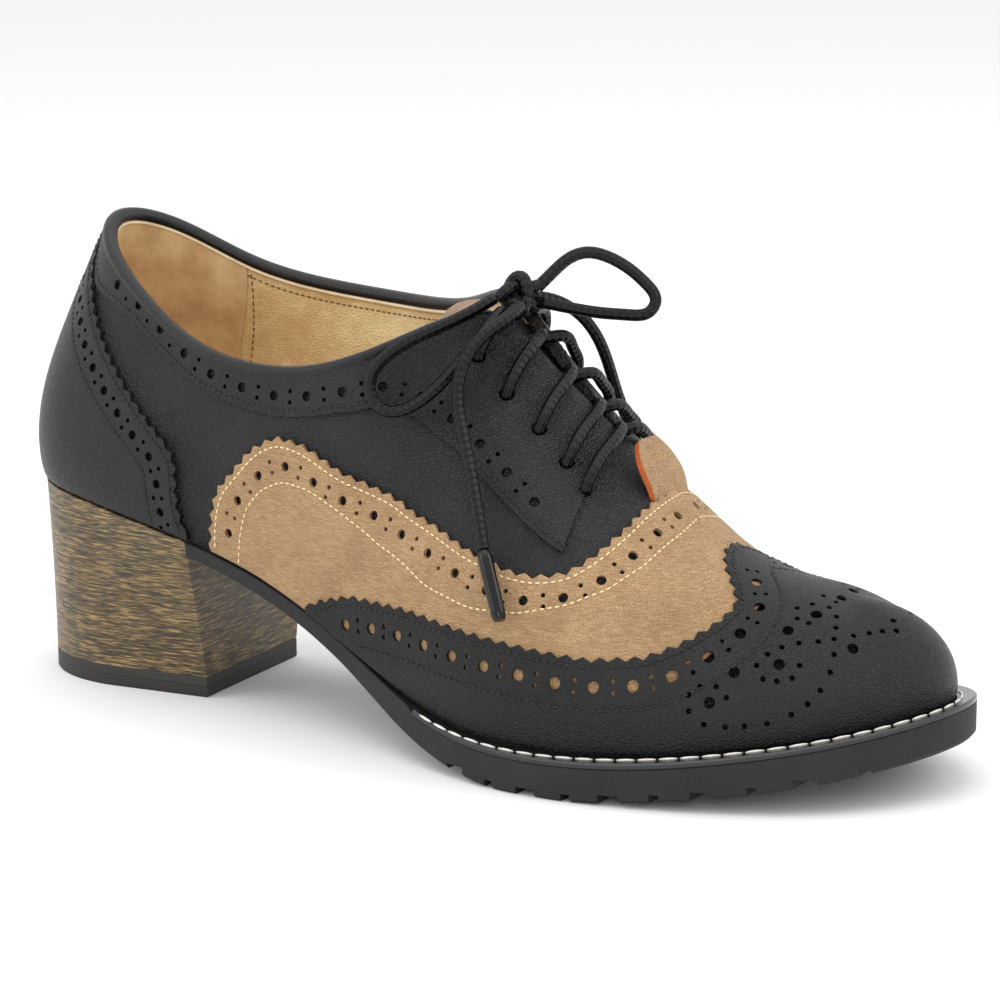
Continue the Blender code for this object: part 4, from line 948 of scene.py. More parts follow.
counter_cut = cut_panel(counter_rim, counter_holes, counter_rows)
counter = lay_panel("heel_counter_overlay", counter_cut, LAID_ON, COUNTER_TOP, black_calf)
hand_over(counter, "black_leather", "heel_counter")
black_thread = waxed_thread("black_thread", dye(6, 6, 7), dye(20, 20, 23), 0.45)
counter_stitches = sew("counter_stitches", seam_rows(counter_rows, COUNTER_TOP - THREAD_SUNK), black_thread)
hand_over(counter_stitches, "black_leather")

# THE FACINGS. A black calf band on each side that follows the topline and widens into the facing with its
# five eyelets. Its lower edge is folded and sewn, with a punched row above it.

EYESTAY_EDGE = (
    Edge(0.34, 0.84),
    Edge(1.15, 0.84),
    Edge(1.95, 0.87),
    Edge(2.50, 0.85),
    Edge(3.10, 0.805),
    Edge(3.90, 0.79),
    Edge(4.70, 0.80),
    Edge(5.30, 0.76),
    Edge(5.65, 0.69),
    Edge(6.10, 0.62),
    Edge(6.60, 0.60),
    Edge(7.00, 0.58),
    Edge(7.40, 0.55),
    Edge(7.72, 0.53),
    Edge(7.90, 0.53),
)
band_ribs = np.linspace(EYESTAY_EDGE[0].rib, EYESTAY_EDGE[-1].rib, 160)
band_low = np.interp(band_ribs, *np.array(EYESTAY_EDGE).T)
band_low = np.maximum(band_low, np.interp(band_ribs, *np.array(COUNTER_EDGE).T) + 0.016)
band_edge = eased(np.column_stack([band_ribs, np.minimum(band_low, 0.985)]))
band_front = [(EYESTAY_EDGE[-1].rib, v) for v in np.linspace(EYESTAY_EDGE[-1].share, 1, 24)[1:]]
band_top = [(u, 1.0) for u in np.linspace(EYESTAY_EDGE[-1].rib, EYESTAY_EDGE[0].rib, 150)[1:]]
band_rim = np.vstack([band_edge, band_front, band_top])
BAND_PUNCHING, BAND_ROW = 0.0046, 0.0014  # from the folded edge to the holes and to the stitches
BAND_PITCH, BAND_HOLE = 0.0094, 0.0012
PUNCHED_FROM, PUNCHED_TO = 1.25, 7.7  # the ribs between which the band is punched
BAND_TOP = 0.0010
band_row = beside(band_edge[band_edge[:, 0] > PUNCHED_FROM], BAND_PUNCHING)
band_holes = punched_row(band_row[band_row[:, 0] < PUNCHED_TO], BAND_PITCH, BAND_HOLE)
band_rows = [beside(band_edge, BAND_ROW)]
band_cut = cut_panel(band_rim, band_holes + eyelet_holes, band_rows)
facings = lay_panel("facing_bands", band_cut, LAID_ON, BAND_TOP, black_calf)
hand_over(facings, "black_leather", "eyestay_outer", "eyestay_inner")
facing_line = np.array([(u, 0.955) for u in np.linspace(6.3, 7.85, 60)])
facing_seams = seam_rows(band_rows + [facing_line], BAND_TOP - THREAD_SUNK)
facing_stitches = sew("facing_stitches", facing_seams, black_thread)
hand_over(facing_stitches, "black_leather")

# THE VAMP. Tan calf with a combed finish, cut as a deep wing: its pinked edge runs from the throat back
# along the quarter. Cream thread sews it down beside the edge and again a finger's width inside.

CAP_EDGE = (
    Edge(4.68, 0.04),
    Edge(4.90, 0.105),
    Edge(5.30, 0.17),
    Edge(6.15, 0.205),
    Edge(7.15, 0.235),
    Edge(7.85, 0.26),
    Edge(8.40, 0.28),
    Edge(8.95, 0.34),
    Edge(9.30, 0.43),
    Edge(9.60, 0.565),
    Edge(9.75, 0.69),
)
VAMP_EDGE = (
    Edge(3.58, 0.36),
    Edge(3.65, 0.42),
    Edge(3.80, 0.60),
    Edge(4.05, 0.695),
    Edge(4.40, 0.675),
    Edge(4.72, 0.61),
    Edge(5.00, 0.55),
    Edge(5.50, 0.48),
    Edge(6.10, 0.42),
    Edge(6.90, 0.405),
    Edge(7.40, 0.41),
    Edge(7.70, 0.43),
    Edge(8.00, 0.48),
    Edge(8.20, 0.565),
    Edge(8.29, 0.63),
    Edge(8.37, 0.70),
    Edge(8.43, 0.80),
    Edge(8.50, 0.91),
    Edge(8.54, 1.00),
)
UNDER_CAP = 0.15  # share by which the vamp runs on under the cap's edge
vamp_edge = eased([Edge(VAMP_EDGE[0].rib, OVERLAY_FOOT), *VAMP_EDGE])
vamp_ribs = np.linspace(VAMP_EDGE[0].rib, CAP_EDGE[-1].rib, 130)
vamp_low = np.maximum(np.interp(vamp_ribs, *np.array(CAP_EDGE).T) - UNDER_CAP, OVERLAY_FOOT)
vamp_foot = np.column_stack([vamp_ribs, vamp_low])
VAMP_TOE = ((9.85, 0.60), (9.98, 0.70), (10.08, 0.82), (10.12, 0.92), (10.12, 1.0))  # hidden by the cap
vamp_crown = [(u, 1.0) for u in np.linspace(VAMP_TOE[-1][0], VAMP_EDGE[-1].rib, 24)[1:]]
vamp_rim = np.vstack([vamp_foot, evenly(VAMP_TOE, LINE_STEP), vamp_crown, pinked(vamp_edge, 1)[-2:0:-1]])
VAMP_PUNCHING = 0.0056  # from the edge to the row of holes
VAMP_PITCH, VAMP_HOLE = 0.0089, 0.00115
vamp_punched = above(beside(vamp_edge, -VAMP_PUNCHING), 0.06)[:-1]
vamp_holes = punched_row(vamp_punched, VAMP_PITCH, VAMP_HOLE)
INNER_SEAM = (  # the second row of stitches on the vamp, from the wing's foot to the throat
    (3.88, 0.030),
    (3.90, 0.180),
    (3.93, 0.330),
    (4.05, 0.440),
    (4.27, 0.506),
    (4.60, 0.494),
    (5.30, 0.381),
    (5.67, 0.331),
    (6.43, 0.281),
    (7.07, 0.288),
    (7.63, 0.331),
    (8.10, 0.406),
    (8.43, 0.500),
    (8.67, 0.638),
    (8.87, 0.869),
    (8.93, 0.990),
)
vamp_rows = [above(beside(vamp_edge, -EDGE_ROW), 0.03), eased(INNER_SEAM)]
tan_calf = leather("tan_calf", dye(157, 122, 85), dye(198, 161, 118), 1400.0, 0.75, 0.58, combed=0.6)
vamp_cut = cut_panel(vamp_rim, vamp_holes, vamp_rows)
VAMP_UNDER, VAMP_TOP = 0.00025, 0.00125
vamp = lay_panel("tan_vamp", vamp_cut, VAMP_UNDER, VAMP_TOP, tan_calf)
hand_over(vamp, "tan_leather", "vamp")
vamp_stitches = sew("vamp_stitches", seam_rows(vamp_rows, VAMP_TOP - THREAD_SUNK), cream_thread)
hand_over(vamp_stitches, "tan_leather")

# THE WINGED TOE CAP. Black calf over the vamp, pinked round its wings and peak and punched through, so
# that the tan shows in the large holes. The toe has a medallion of punched flowers.

CAP_PEAK = ((9.75, 0.685), (9.62, 0.77), (9.45, 0.85), (9.37, 0.94), (9.40, 1.0))
CAP_UNDER, CAP_TOP = 0.0013, 0.0020
MEDALLION_LARGE = (
    (9.93, 0.356), (9.73, 0.219), (10.43, 0.400), (10.47, 0.581), (10.83, 0.694), (11.33, 0.500),
    (11.43, 0.900),
)
MEDALLION_SMALL = (
    (9.60, 0.281), (9.77, 0.288), (9.50, 0.244), (9.90, 0.244), (9.53, 0.181), (9.70, 0.131),
    (9.93, 0.119), (10.13, 0.119), (10.37, 0.125), (10.63, 0.156), (10.80, 0.200), (10.93, 0.263),
    (11.03, 0.356), (11.07, 0.456), (11.07, 0.550), (11.10, 0.625), (11.13, 0.706), (11.03, 0.765),
    (10.17, 0.394), (10.27, 0.450), (10.43, 0.488), (10.67, 0.394), (10.60, 0.331), (10.43, 0.319),
    (10.27, 0.331), (10.55, 0.725), (10.57, 0.656), (10.77, 0.765), (10.73, 0.631), (10.87, 0.525),
    (10.63, 0.513), (11.37, 0.588), (11.70, 0.613), (12.00, 0.613), (12.30, 0.594), (12.45, 0.675),
    (10.97, 0.856), (11.20, 0.831),
)
CAP_PUNCHING, CAP_SECOND_ROW = 0.0058, 0.0108  # from the edge to the holes and to the second row of stitches
CAP_PITCH, CAP_HOLE = 0.0086, 0.00135
cap_edge = eased([*CAP_EDGE[:-1], *CAP_PEAK])
cap_edge[-1] = CAP_PEAK[-1]
cap_foot = [(u, OVERLAY_FOOT) for u in np.linspace(CAP_EDGE[0].rib, TOE, 150)]
cap_toe = [(TOE, v) for v in np.linspace(OVERLAY_FOOT, 1, 30)[1:]]
cap_crown = [(u, 1.0) for u in np.linspace(TOE, CAP_PEAK[-1][0], 60)[1:]]
cap_rim = np.vstack([cap_foot, cap_toe, cap_crown, pinked(cap_edge, 1)[-2::-1]])
cap_punched = above(beside(cap_edge, -CAP_PUNCHING), 0.05)[:-2]
cap_holes = punched_row(cap_punched, CAP_PITCH, CAP_HOLE)
for flowers, radius in ((MEDALLION_LARGE, 0.00125), (MEDALLION_SMALL, 0.00062)):
    cap_holes += [(place, radius) for place in flowers]
cap_rows = [above(beside(cap_edge, -distance), 0.045) for distance in (EDGE_ROW, CAP_SECOND_ROW)]
cap_cut = cut_panel(cap_rim, cap_holes, cap_rows)
cap_calf = leather("black_cap_calf", dye(5, 5, 6), dye(14, 14, 17), 1300.0, 0.5, 0.38, sheen=0.34)
toe_cap = lay_panel("winged_toe_cap", cap_cut, CAP_UNDER, CAP_TOP, cap_calf)
hand_over(toe_cap, "black_leather", "toe_cap")
cap_stitches = sew("cap_stitches", seam_rows(cap_rows, CAP_TOP - THREAD_SUNK), black_thread)
hand_over(cap_stitches, "black_leather")

# THE THROAT TAB. A rounded tan tab sewn under the vamp's throat over the foot of the lacing. Its cut edge
# is dyed orange brown.

TAB_THICKNESS = 0.0014
TAB_REST = 0.65  # how far the soft tab settles towards the lacing, as a share of its rise
TAB_SET = np.array((-0.0020, -0.0014, 0.0))  # where the lacing holds its free end
TabRow = namedtuple("TabRow", "rib lift half_width")
# Rows from the root under the vamp to the free end; lift and half_width are shares of BALL_WIDTH.
TAB = (
    TabRow(8.95, -0.036, 0.080),
    TabRow(8.70, -0.028, 0.088),
    TabRow(8.56, -0.012, 0.094),
    TabRow(8.44, 0.020, 0.098),
    TabRow(8.32, 0.052, 0.098),
    TabRow(8.18, 0.080, 0.082),
    TabRow(8.08, 0.100, 0.048),
)
TAB_FREE_FROM = 8.44  # the rib at which the tab comes out from under the vamp
TAB_LINES = 30


def tab_face(extra):
    """The tab's smooth face, extra above its underside."""
    across = np.linspace(-1, 1, 17)
    lines = []
    for row in TAB:
        free = np.clip((TAB_FREE_FROM - row.rib) / 0.5, 0, 1)
        middle = surface(row.rib, 1.0, row.lift * TAB_REST * BALL_WIDTH + extra)[0] + TAB_SET * free
        half = row.half_width * BALL_WIDTH
        drop = half * across**2 * row.half_width
        lines.append(middle + np.column_stack([0 * across, across * half, -drop]))
    lines = np.array(lines)
    through = spline(range(len(lines)), lines.reshape(len(lines), -1))
    return through(np.linspace(0, len(lines) - 1, TAB_LINES)).reshape(TAB_LINES, -1, 3)


dyed_edge = leather("orange_cut_edge", dye(168, 74, 22), dye(206, 108, 42), 2500.0, 0.2, 0.45)
tab = slab("tan_throat_tab", tab_face(TAB_THICKNESS), tab_face(0.0), tan_calf, dyed_edge)
hand_over(tab, "tan_leather", "throat_tab")

# THE WELT. A narrow glossy black rand round the forefoot, between the upper and the outsole. A row of
# white linen lockstitches goes through it close beside the upper.

WELT_THICKNESS = 0.0012
WELT_STARTS = 6 + 1 / 3
WELT_ROW = 0.0016  # from the upper's foot to the stitches
CAP_THICKNESS = 0.0016
welt_ribs = np.linspace(WELT_STARTS, RIBS - WELT_STARTS, 240)
welt_margins = welt_margin(welt_ribs)
welt_section = []
welt_corners = (0.0, -0.0004), (-0.0005, 0.0), (None, 0.0), (None, -WELT_THICKNESS), (0.0, -WELT_THICKNESS)
for welt_out, welt_rise in welt_corners:
    outset = CAP_THICKNESS + 2 * GAP if welt_out is None else welt_margins + welt_out
    welt_plan = foot_line(welt_ribs, outset)[0]
    welt_section.append(np.column_stack([welt_plan, feather_height(welt_plan[:, 0]) + welt_rise]))
welt_rows_count, welt_columns = len(welt_section), len(welt_ribs)
welt_faces = [tuple(k * welt_columns for k in range(welt_rows_count))]
welt_faces.append(tuple(k * welt_columns + welt_columns - 1 for k in range(welt_rows_count)))
for k in range(welt_rows_count):
    for i in range(welt_columns - 1):
        a, b = k * welt_columns + i, (k + 1) % welt_rows_count * welt_columns + i
        welt_faces.append((a, a + 1, b + 1, b))
welt_gloss = leather("glossy_black_welt", dye(8, 8, 9), dye(18, 18, 19), 900.0, 0.12, 0.25, coat=0.4)
welt = mesh_piece("stitched_welt", np.vstack(welt_section), welt_faces, welt_gloss)
hand_over(welt, "black_welt", "welt")
welt_row_plan = foot_line(welt_ribs[2:-2], CAP_THICKNESS + WELT_ROW)[0]
welt_row = np.column_stack([welt_row_plan, feather_height(welt_row_plan[:, 0]) + 0.0001])
white_thread = waxed_thread("white_thread", dye(206, 202, 194), dye(246, 244, 238))
welt_up = np.tile((0.0, 0.0, 1.0), (len(welt_row), 1))
welt_stitches = sew("welt_stitches", [(welt_row, welt_up)], white_thread, 0.0043, 0.00062, 0.0006, 0.0003)
hand_over(welt_stitches, "black_welt")

# THE OUTSOLE. Moulded black rubber: a thin waist and a thicker forefoot whose tread is cut across by
# wide and narrow notches with slanted sides. It is cemented under the welt.

SOLE_STEPS = 8  # columns between two ribs
SOLE_UNDERCUT = 0.0008
HEEL_LENGTH = 0.054
HEEL_YAW = radians(5.0)
GROOVE_DEPTH = 0.0018
GROOVE_PITCH = 0.00965
WIDE_GROOVE, NARROW_GROOVE = 0.0046, 0.0020
FIRST_GROOVE = 0.1152
GROOVE_SLANT = 0.0007  # how much narrower each side of a notch is at its top


def breast_rib(near, far, extra):
    """The rib between near and far whose outline crosses the heel's breast, extra in front of it."""
    for _ in range(40):
        middle = (near + far) / 2
        x, y = welt_line(middle)[0]
        if x < HEEL_LENGTH / 2 - y * tan(HEEL_YAW) + extra:
            near = middle
        else:
            far = middle
    return near


first_sole_rib, last_sole_rib = breast_rib(2.0, 5.0, GAP), breast_rib(RIBS - 2.0, RIBS - 5.0, GAP)
sole_ribs = np.linspace(first_sole_rib, last_sole_rib, int((last_sole_rib - first_sole_rib) * SOLE_STEPS))
sole_edge = welt_line(sole_ribs)
sole_margins = welt_margin(sole_ribs)
sole_under = foot_line(sole_ribs, sole_margins - SOLE_UNDERCUT)[0]
sole_seat = foot_line(sole_ribs, np.minimum(CAP_THICKNESS + GAP, sole_margins / 2))[0]
welted = (sole_ribs > WELT_STARTS) & (sole_ribs < RIBS - WELT_STARTS)
sole_ledge = np.where(welted, WELT_THICKNESS + GAP / 3, GAP / 3)
sole_top = feather_height(sole_edge[:, 0]) - sole_ledge
sole_base = ground_height(sole_edge[:, 0])
sole_rings = [
    np.column_stack([sole_under, ground_height(sole_under[:, 0])]),
    np.column_stack([sole_edge, sole_base + SOLE_UNDERCUT]),
    np.column_stack([sole_edge, sole_base * 0.4 + sole_top * 0.6]),
    np.column_stack([sole_edge, sole_top - 0.0003]),
    np.column_stack([foot_line(sole_ribs, sole_margins - 0.0003)[0], sole_top]),
    np.column_stack([sole_seat, feather_height(sole_seat[:, 0]) - sole_ledge - GAP / 2]),
    np.column_stack([sole_seat, feather_height(sole_seat[:, 0]) - GAP / 3]),
]
rubber, rubber_add, rubber_feed = blank_finish("moulded_rubber")
rubber_where = rubber_add("ShaderNodeTexCoord").outputs["Object"]
rubber_skin = rubber_add("ShaderNodeTexNoise", {"Vector": rubber_where, "Scale": 1600.0, "Detail": 5.0})
rubber_bloom = rubber_add("ShaderNodeTexNoise", {"Vector": rubber_where, "Scale": 70.0, "Detail": 4.0})
rubber_feed("Base Color", ramp(rubber_add, rubber_bloom.outputs["Fac"], dye(10, 10, 10), dye(22, 22, 21)))
rubber_shine = {"Value": rubber_skin.outputs["Fac"], "To Min": 0.55, "To Max": 0.8}
rubber_feed("Roughness", rubber_add("ShaderNodeMapRange", rubber_shine).outputs[0])
rubber_bump = {"Height": rubber_skin.outputs["Fac"], "Strength": 0.35, "Distance": 0.0002}
rubber_feed("Normal", rubber_add("ShaderNodeBump", rubber_bump).outputs[0])
outsole = mesh_piece("notched_outsole", *stacked_rings(sole_rings, closed=False), rubber)

groove_points, groove_faces = [], []
groove_x, wide = FIRST_GROOVE, True
while groove_x < sole_edge[:, 0].max() - GROOVE_PITCH:
    roof = ground_height(groove_x)[0] + GROOVE_DEPTH
    half = (WIDE_GROOVE if wide else NARROW_GROOVE) / 2
    start = len(groove_points)
    for y in (-BALL_WIDTH, BALL_WIDTH):
        corners = ((-half - GROOVE_SLANT, -0.01), (half + GROOVE_SLANT, -0.01), (half, roof), (-half, roof))
        groove_points += [(groove_x + dx, y, z) for dx, z in corners]
    groove_faces += [(start, start + 1, start + 2, start + 3), (start + 7, start + 6, start + 5, start + 4)]
    for k in range(4):
        a, b = start + k, start + (k + 1) % 4
        groove_faces.append((a, a + 4, b + 4, b))
    groove_x += GROOVE_PITCH
    wide = not wide
groove_cutter = mesh_piece("groove_cutter", groove_points, groove_faces, rubber)
groove_cut = outsole.modifiers.new("grooves", "BOOLEAN")
groove_cut.operation = "DIFFERENCE"
groove_cut.object = groove_cutter
sole_mesh = bpy.data.meshes.new_from_object(outsole.evaluated_get(bpy.context.evaluated_depsgraph_get()))
outsole.modifiers.clear()
outsole.data = sole_mesh
bpy.data.objects.remove(groove_cutter)
outsole.data.set_sharp_from_angle(angle=SMOOTH_BELOW)
hand_over(outsole, "black_rubber", "outsole")

# THE HEEL BLOCK. A block heel, covered in thin stacked leather lifts that are dyed brown black and show
# gold streaks where the layers end. It is nailed up through the seat from inside.

HEEL_WIDTH = 0.042
HEEL_SWELL = 0.0010
HEEL_BACK = 0.027
LIFT_THICKNESS = 0.0050
COUNTER_THICKNESS = 0.0012
HEEL_ROUND = 140


def spaced(points, count):
    """Count points at even lengths along a line in plan."""
    points = np.asarray(points)
    length = length_along(points)
    places = np.linspace(0, length[-1], count)
    return np.column_stack([np.interp(places, length, column) for column in points.T])


def heel_outline(grown=0.0):
    """The heel at the floor, from the breast's outer corner round the back to its inner one."""
    half = HEEL_WIDTH / 2
    turn = np.linspace(-pi / 2, pi / 2, 121)
    straight = HEEL_LENGTH - HEEL_BACK
    curve = np.column_stack([-straight - HEEL_BACK * np.cos(turn), (half + HEEL_SWELL) * np.sin(turn)])
    outline = np.vstack([[(0, -half)], curve, [(0, half)]])
    outline = outline + outline / np.linalg.norm(outline, axis=1)[:, None] * grown * [0, 1]
    yaw = np.array([[cos(HEEL_YAW), sin(HEEL_YAW)], [-sin(HEEL_YAW), cos(HEEL_YAW)]])
    return spaced(outline, HEEL_ROUND) @ yaw + [HEEL_LENGTH / 2, 0.0]


seat_ribs = np.linspace(breast_rib(2.0, 5.0, 0.0), breast_rib(RIBS - 2.0, RIBS - 5.0, 0.0) - RIBS, 241)
heel_seat = spaced(foot_line(seat_ribs, COUNTER_THICKNESS)[0], HEEL_ROUND)
heel_foot = heel_outline()
seat_height = feather_height(heel_seat[:, 0]) - GAP / 3
heel_rings = []
for share in (0.0, 0.01, 0.12, 0.25, 0.4, 0.55, 0.7, 0.85, 0.97, 1.0):
    plan = heel_foot + (heel_seat - heel_foot) * (share - 0.03 * sin(pi * share))
    height = LIFT_THICKNESS + GAP / 3 + (seat_height - LIFT_THICKNESS) * share
    heel_rings.append(np.column_stack([plan, height]))
stack, stack_add, stack_feed = blank_finish("stacked_heel_leather")
stack_where = stack_add("ShaderNodeTexCoord").outputs["Object"]
stack_lie = stack_add("ShaderNodeMapping", {"Vector": stack_where, "Scale": (150.0, 150.0, 2600.0)})
stack_layers = stack_add("ShaderNodeTexNoise", {"Vector": stack_lie.outputs[0], "Scale": 1.0, "Detail": 5.0})
stack_wide = stack_add("ShaderNodeMapping", {"Vector": stack_where, "Scale": (320.0, 320.0, 6000.0)})
stack_fine = stack_add("ShaderNodeTexNoise", {"Vector": stack_wide.outputs[0], "Scale": 1.0, "Detail": 6.0})
stack_both = stack_add(
    "ShaderNodeMath", {0: stack_layers.outputs["Fac"], 1: stack_fine.outputs["Fac"]}, operation="MULTIPLY"
)
stack_ramp = stack_add("ShaderNodeValToRGB", {"Fac": stack_both.outputs[0]})
stack_stops = stack_ramp.color_ramp.elements
stack_stops[0].position, stack_stops[0].color = 0.19, dye(44, 36, 24)
stack_stops[1].position, stack_stops[1].color = 0.38, dye(166, 136, 84)
middle_stop = stack_stops.new(0.27)
middle_stop.color = dye(94, 77, 46)
stack_feed("Base Color", stack_ramp.outputs["Color"])
stack_feed("Roughness", 0.42)
stack_bump = {"Height": stack_both.outputs[0], "Strength": 0.35, "Distance": 0.0003}
stack_feed("Normal", stack_add("ShaderNodeBump", stack_bump).outputs[0])
heel_block = mesh_piece("stacked_heel_block", *stacked_rings(heel_rings, closed=False), stack)
hand_over(heel_block, "stacked_heel", "heel_block")

# THE TOP LIFT. A hard rubber lift on the heel's foot, with fine level lines in its side. It is nailed on
# last, so that it can be changed when it wears.

lift_rubber, lift_add, lift_feed = blank_finish("lined_lift_rubber")
lift_where = lift_add("ShaderNodeTexCoord").outputs["Object"]
lift_lie = lift_add("ShaderNodeMapping", {"Vector": lift_where, "Scale": (10.0, 10.0, 2600.0)})
lift_lines = lift_add("ShaderNodeTexNoise", {"Vector": lift_lie.outputs[0], "Scale": 1.0, "Detail": 4.0})
lift_feed("Base Color", ramp(lift_add, lift_lines.outputs["Fac"], dye(22, 22, 21), dye(46, 45, 42)))
lift_feed("Roughness", 0.6)
lift_bump = {"Height": lift_lines.outputs["Fac"], "Strength": 0.5, "Distance": 0.0002}
lift_feed("Normal", lift_add("ShaderNodeBump", lift_bump).outputs[0])
lift_middle = heel_foot.mean(axis=0)
lift_rings = []
lift_corners = (0.012, 0.0), (0.0, 0.0004), (0.0, LIFT_THICKNESS - 0.0003), (0.006, LIFT_THICKNESS)
for drawn_in, height in lift_corners:
    plan = heel_foot + (lift_middle - heel_foot) * drawn_in
    lift_rings.append(np.column_stack([plan, np.full(len(plan), height)]))
top_lift = mesh_piece("rubber_top_lift", *stacked_rings(lift_rings, closed=False), lift_rubber)
hand_over(top_lift, "black_rubber", "top_lift")

# THE LACING. One round waxed black braid, laced criss-cross through five pairs of eyelets. It comes up
# through each eyelet, lies over the facing and goes down at the middle under the other facing.

LACE_DIAMETER = 0.0028
LACE_SIDES = 12
LACE_STEP = 0.0007
KNOT_PLACE = (104.9, -2.0, 101.3)
LACE_ROUTES = {
    "lace_loop_outer": (
        (102.6, -7.6, 101.0),
        (99.6, -13.6, 98.2),
        (95.0, -18.6, 95.4),
        (90.1, -22.8, 92.6),
        (86.3, -25.8, 89.6),
        (83.9, -28.8, 85.6),
        (84.4, -30.2, 81.0),
        (88.6, -30.2, 77.8),
        (94.4, -28.2, 79.2),
        (99.0, -25.2, 83.4),
        (102.6, -20.8, 89.0),
        (105.0, -14.6, 95.0),
        (105.4, -8.6, 98.6),
    ),
    "lace_end_outer": (
        (108.6, -6.3, 99.9),
        (109.2, -12.4, 98.0),
        (106.4, -19.4, 93.8),
        (104.8, -24.6, 87.4),
        (105.6, -27.4, 80.4),
        (108.2, -29.4, 74.4),
        (111.2, -31.6, 68.2),
        (115.8, -35.4, 58.6),
        (119.0, -38.2, 51.4),
    ),
    "lace_loop_inner": (
        (107.9, 2.6, 102.6),
        (110.6, 5.4, 106.2),
        (113.4, 8.2, 109.2),
        (116.2, 10.4, 110.2),
        (119.6, 12.8, 109.4),
        (123.6, 15.6, 106.8),
        (127.6, 17.6, 103.0),
        (129.8, 18.2, 99.2),
        (128.6, 17.4, 96.6),
        (124.4, 15.2, 95.9),
        (118.8, 12.0, 96.4),
        (112.8, 7.4, 97.8),
        (108.9, 3.2, 99.2),
    ),
    "lace_end_inner": (
        (105.6, 4.2, 100.2),
        (108.4, 8.8, 99.0),
        (112.2, 12.6, 96.0),
        (115.0, 16.4, 90.6),
        (116.0, 20.0, 84.0),
        (116.2, 24.4, 75.6),
        (117.0, 29.2, 66.8),
        (118.4, 33.4, 58.2),
    ),
}
AGLET_ENDS = {
    "aglet_outer": ((119.2, -38.4, 50.9), (126.2, -43.0, 37.4)),
    "aglet_inner": ((118.5, 33.7, 57.7), (121.6, 39.8, 43.4)),
}


def lace_tube(name, route, radius, material, rounded=False):
    """A round lace along a smooth curve through a route, with a map of its length and its turn."""
    route = np.asarray(route, float)
    way = length_along(route)
    count = max(4, int(way[-1] / LACE_STEP))
    middle = spline(way, route)(np.linspace(0, way[-1], count))
    along = unit(np.gradient(middle, axis=0))
    side = np.cross(along[0], (0.0, 0.3, 1.0))
    sides = []
    for direction in along:
        side = side - direction * (side @ direction)
        side /= np.linalg.norm(side)
        sides.append(side)
    sides = np.array(sides)
    other = np.cross(along, sides)
    turn = np.arange(LACE_SIDES) * 2 * pi / LACE_SIDES
    radii = np.full(count, radius)
    if rounded:
        radii[[0, -1]] *= 0.72
        radii[[1, -2]] *= 0.93
    rings = middle[:, None] + radii[:, None, None] * (
        np.cos(turn)[None, :, None] * sides[:, None] + np.sin(turn)[None, :, None] * other[:, None]
    )
    faces = ring_faces(count, LACE_SIDES)
    faces += [tuple(range(LACE_SIDES))[::-1], tuple(range((count - 1) * LACE_SIDES, count * LACE_SIDES))]
    mesh = bpy.data.meshes.new(name)
    mesh.from_pydata(rings.reshape(-1, 3).tolist(), [], faces)
    braid_map = mesh.uv_layers.new(name="braid")
    length = np.linspace(0, way[-1], count) / radius
    for polygon in mesh.polygons:
        for loop in polygon.loop_indices:
            corner = mesh.loops[loop].vertex_index
            turned = corner % LACE_SIDES
            wraps = turned == 0 and any(v % LACE_SIDES == LACE_SIDES - 1 for v in polygon.vertices)
            turned = LACE_SIDES if wraps else turned
            braid_map.data[loop].uv = (length[corner // LACE_SIDES], turned / LACE_SIDES)
    mesh.materials.append(material)
    mesh.shade_smooth()
    mesh.set_sharp_from_angle(angle=radians(50))
    return put(name, mesh), middle


braid, braid_add, braid_feed = blank_finish("waxed_black_braid")
braid_where = braid_add("ShaderNodeUVMap", uv_map="braid").outputs["UV"]
braid_split = braid_add("ShaderNodeSeparateXYZ", {"Vector": braid_where})
braid_twists = []
for lean in (1.0, -1.0):
    run = braid_add("ShaderNodeMath", {0: braid_split.outputs["X"], 1: 2.6}, operation="MULTIPLY")
    lap = braid_add("ShaderNodeMath", {0: braid_split.outputs["Y"], 1: lean * 8 * pi}, operation="MULTIPLY")
    both = braid_add("ShaderNodeMath", {0: run.outputs[0], 1: lap.outputs[0]}, operation="ADD")
    braid_twists.append(braid_add("ShaderNodeMath", {0: both.outputs[0]}, operation="SINE").outputs[0])
braid_relief = braid_add("ShaderNodeMath", {0: braid_twists[0], 1: braid_twists[1]}, operation="MULTIPLY")
# The braid's colour is painted lighter on the crests of its weave, in patches of noise: painted glints of
# light on the crests.
braid_place = braid_add("ShaderNodeTexCoord").outputs["Object"]
braid_glint_patches = braid_add("ShaderNodeTexNoise", {"Vector": braid_place, "Scale": 2600.0, "Detail": 3.0})
braid_glint_parts = {0: braid_relief.outputs[0], 1: braid_glint_patches.outputs["Fac"]}
braid_glints = braid_add("ShaderNodeMath", braid_glint_parts, operation="MULTIPLY")
braid_feed("Base Color", ramp(braid_add, braid_glints.outputs[0], dye(3, 3, 4), dye(70, 70, 74), 0.35, 1.0))
braid_feed("Roughness", 0.38)
braid_feed("Specular IOR Level", 0.26)
braid_bump = {"Height": braid_relief.outputs[0], "Strength": 0.6, "Distance": 0.0002}
braid_feed("Normal", braid_add("ShaderNodeBump", braid_bump).outputs[0])


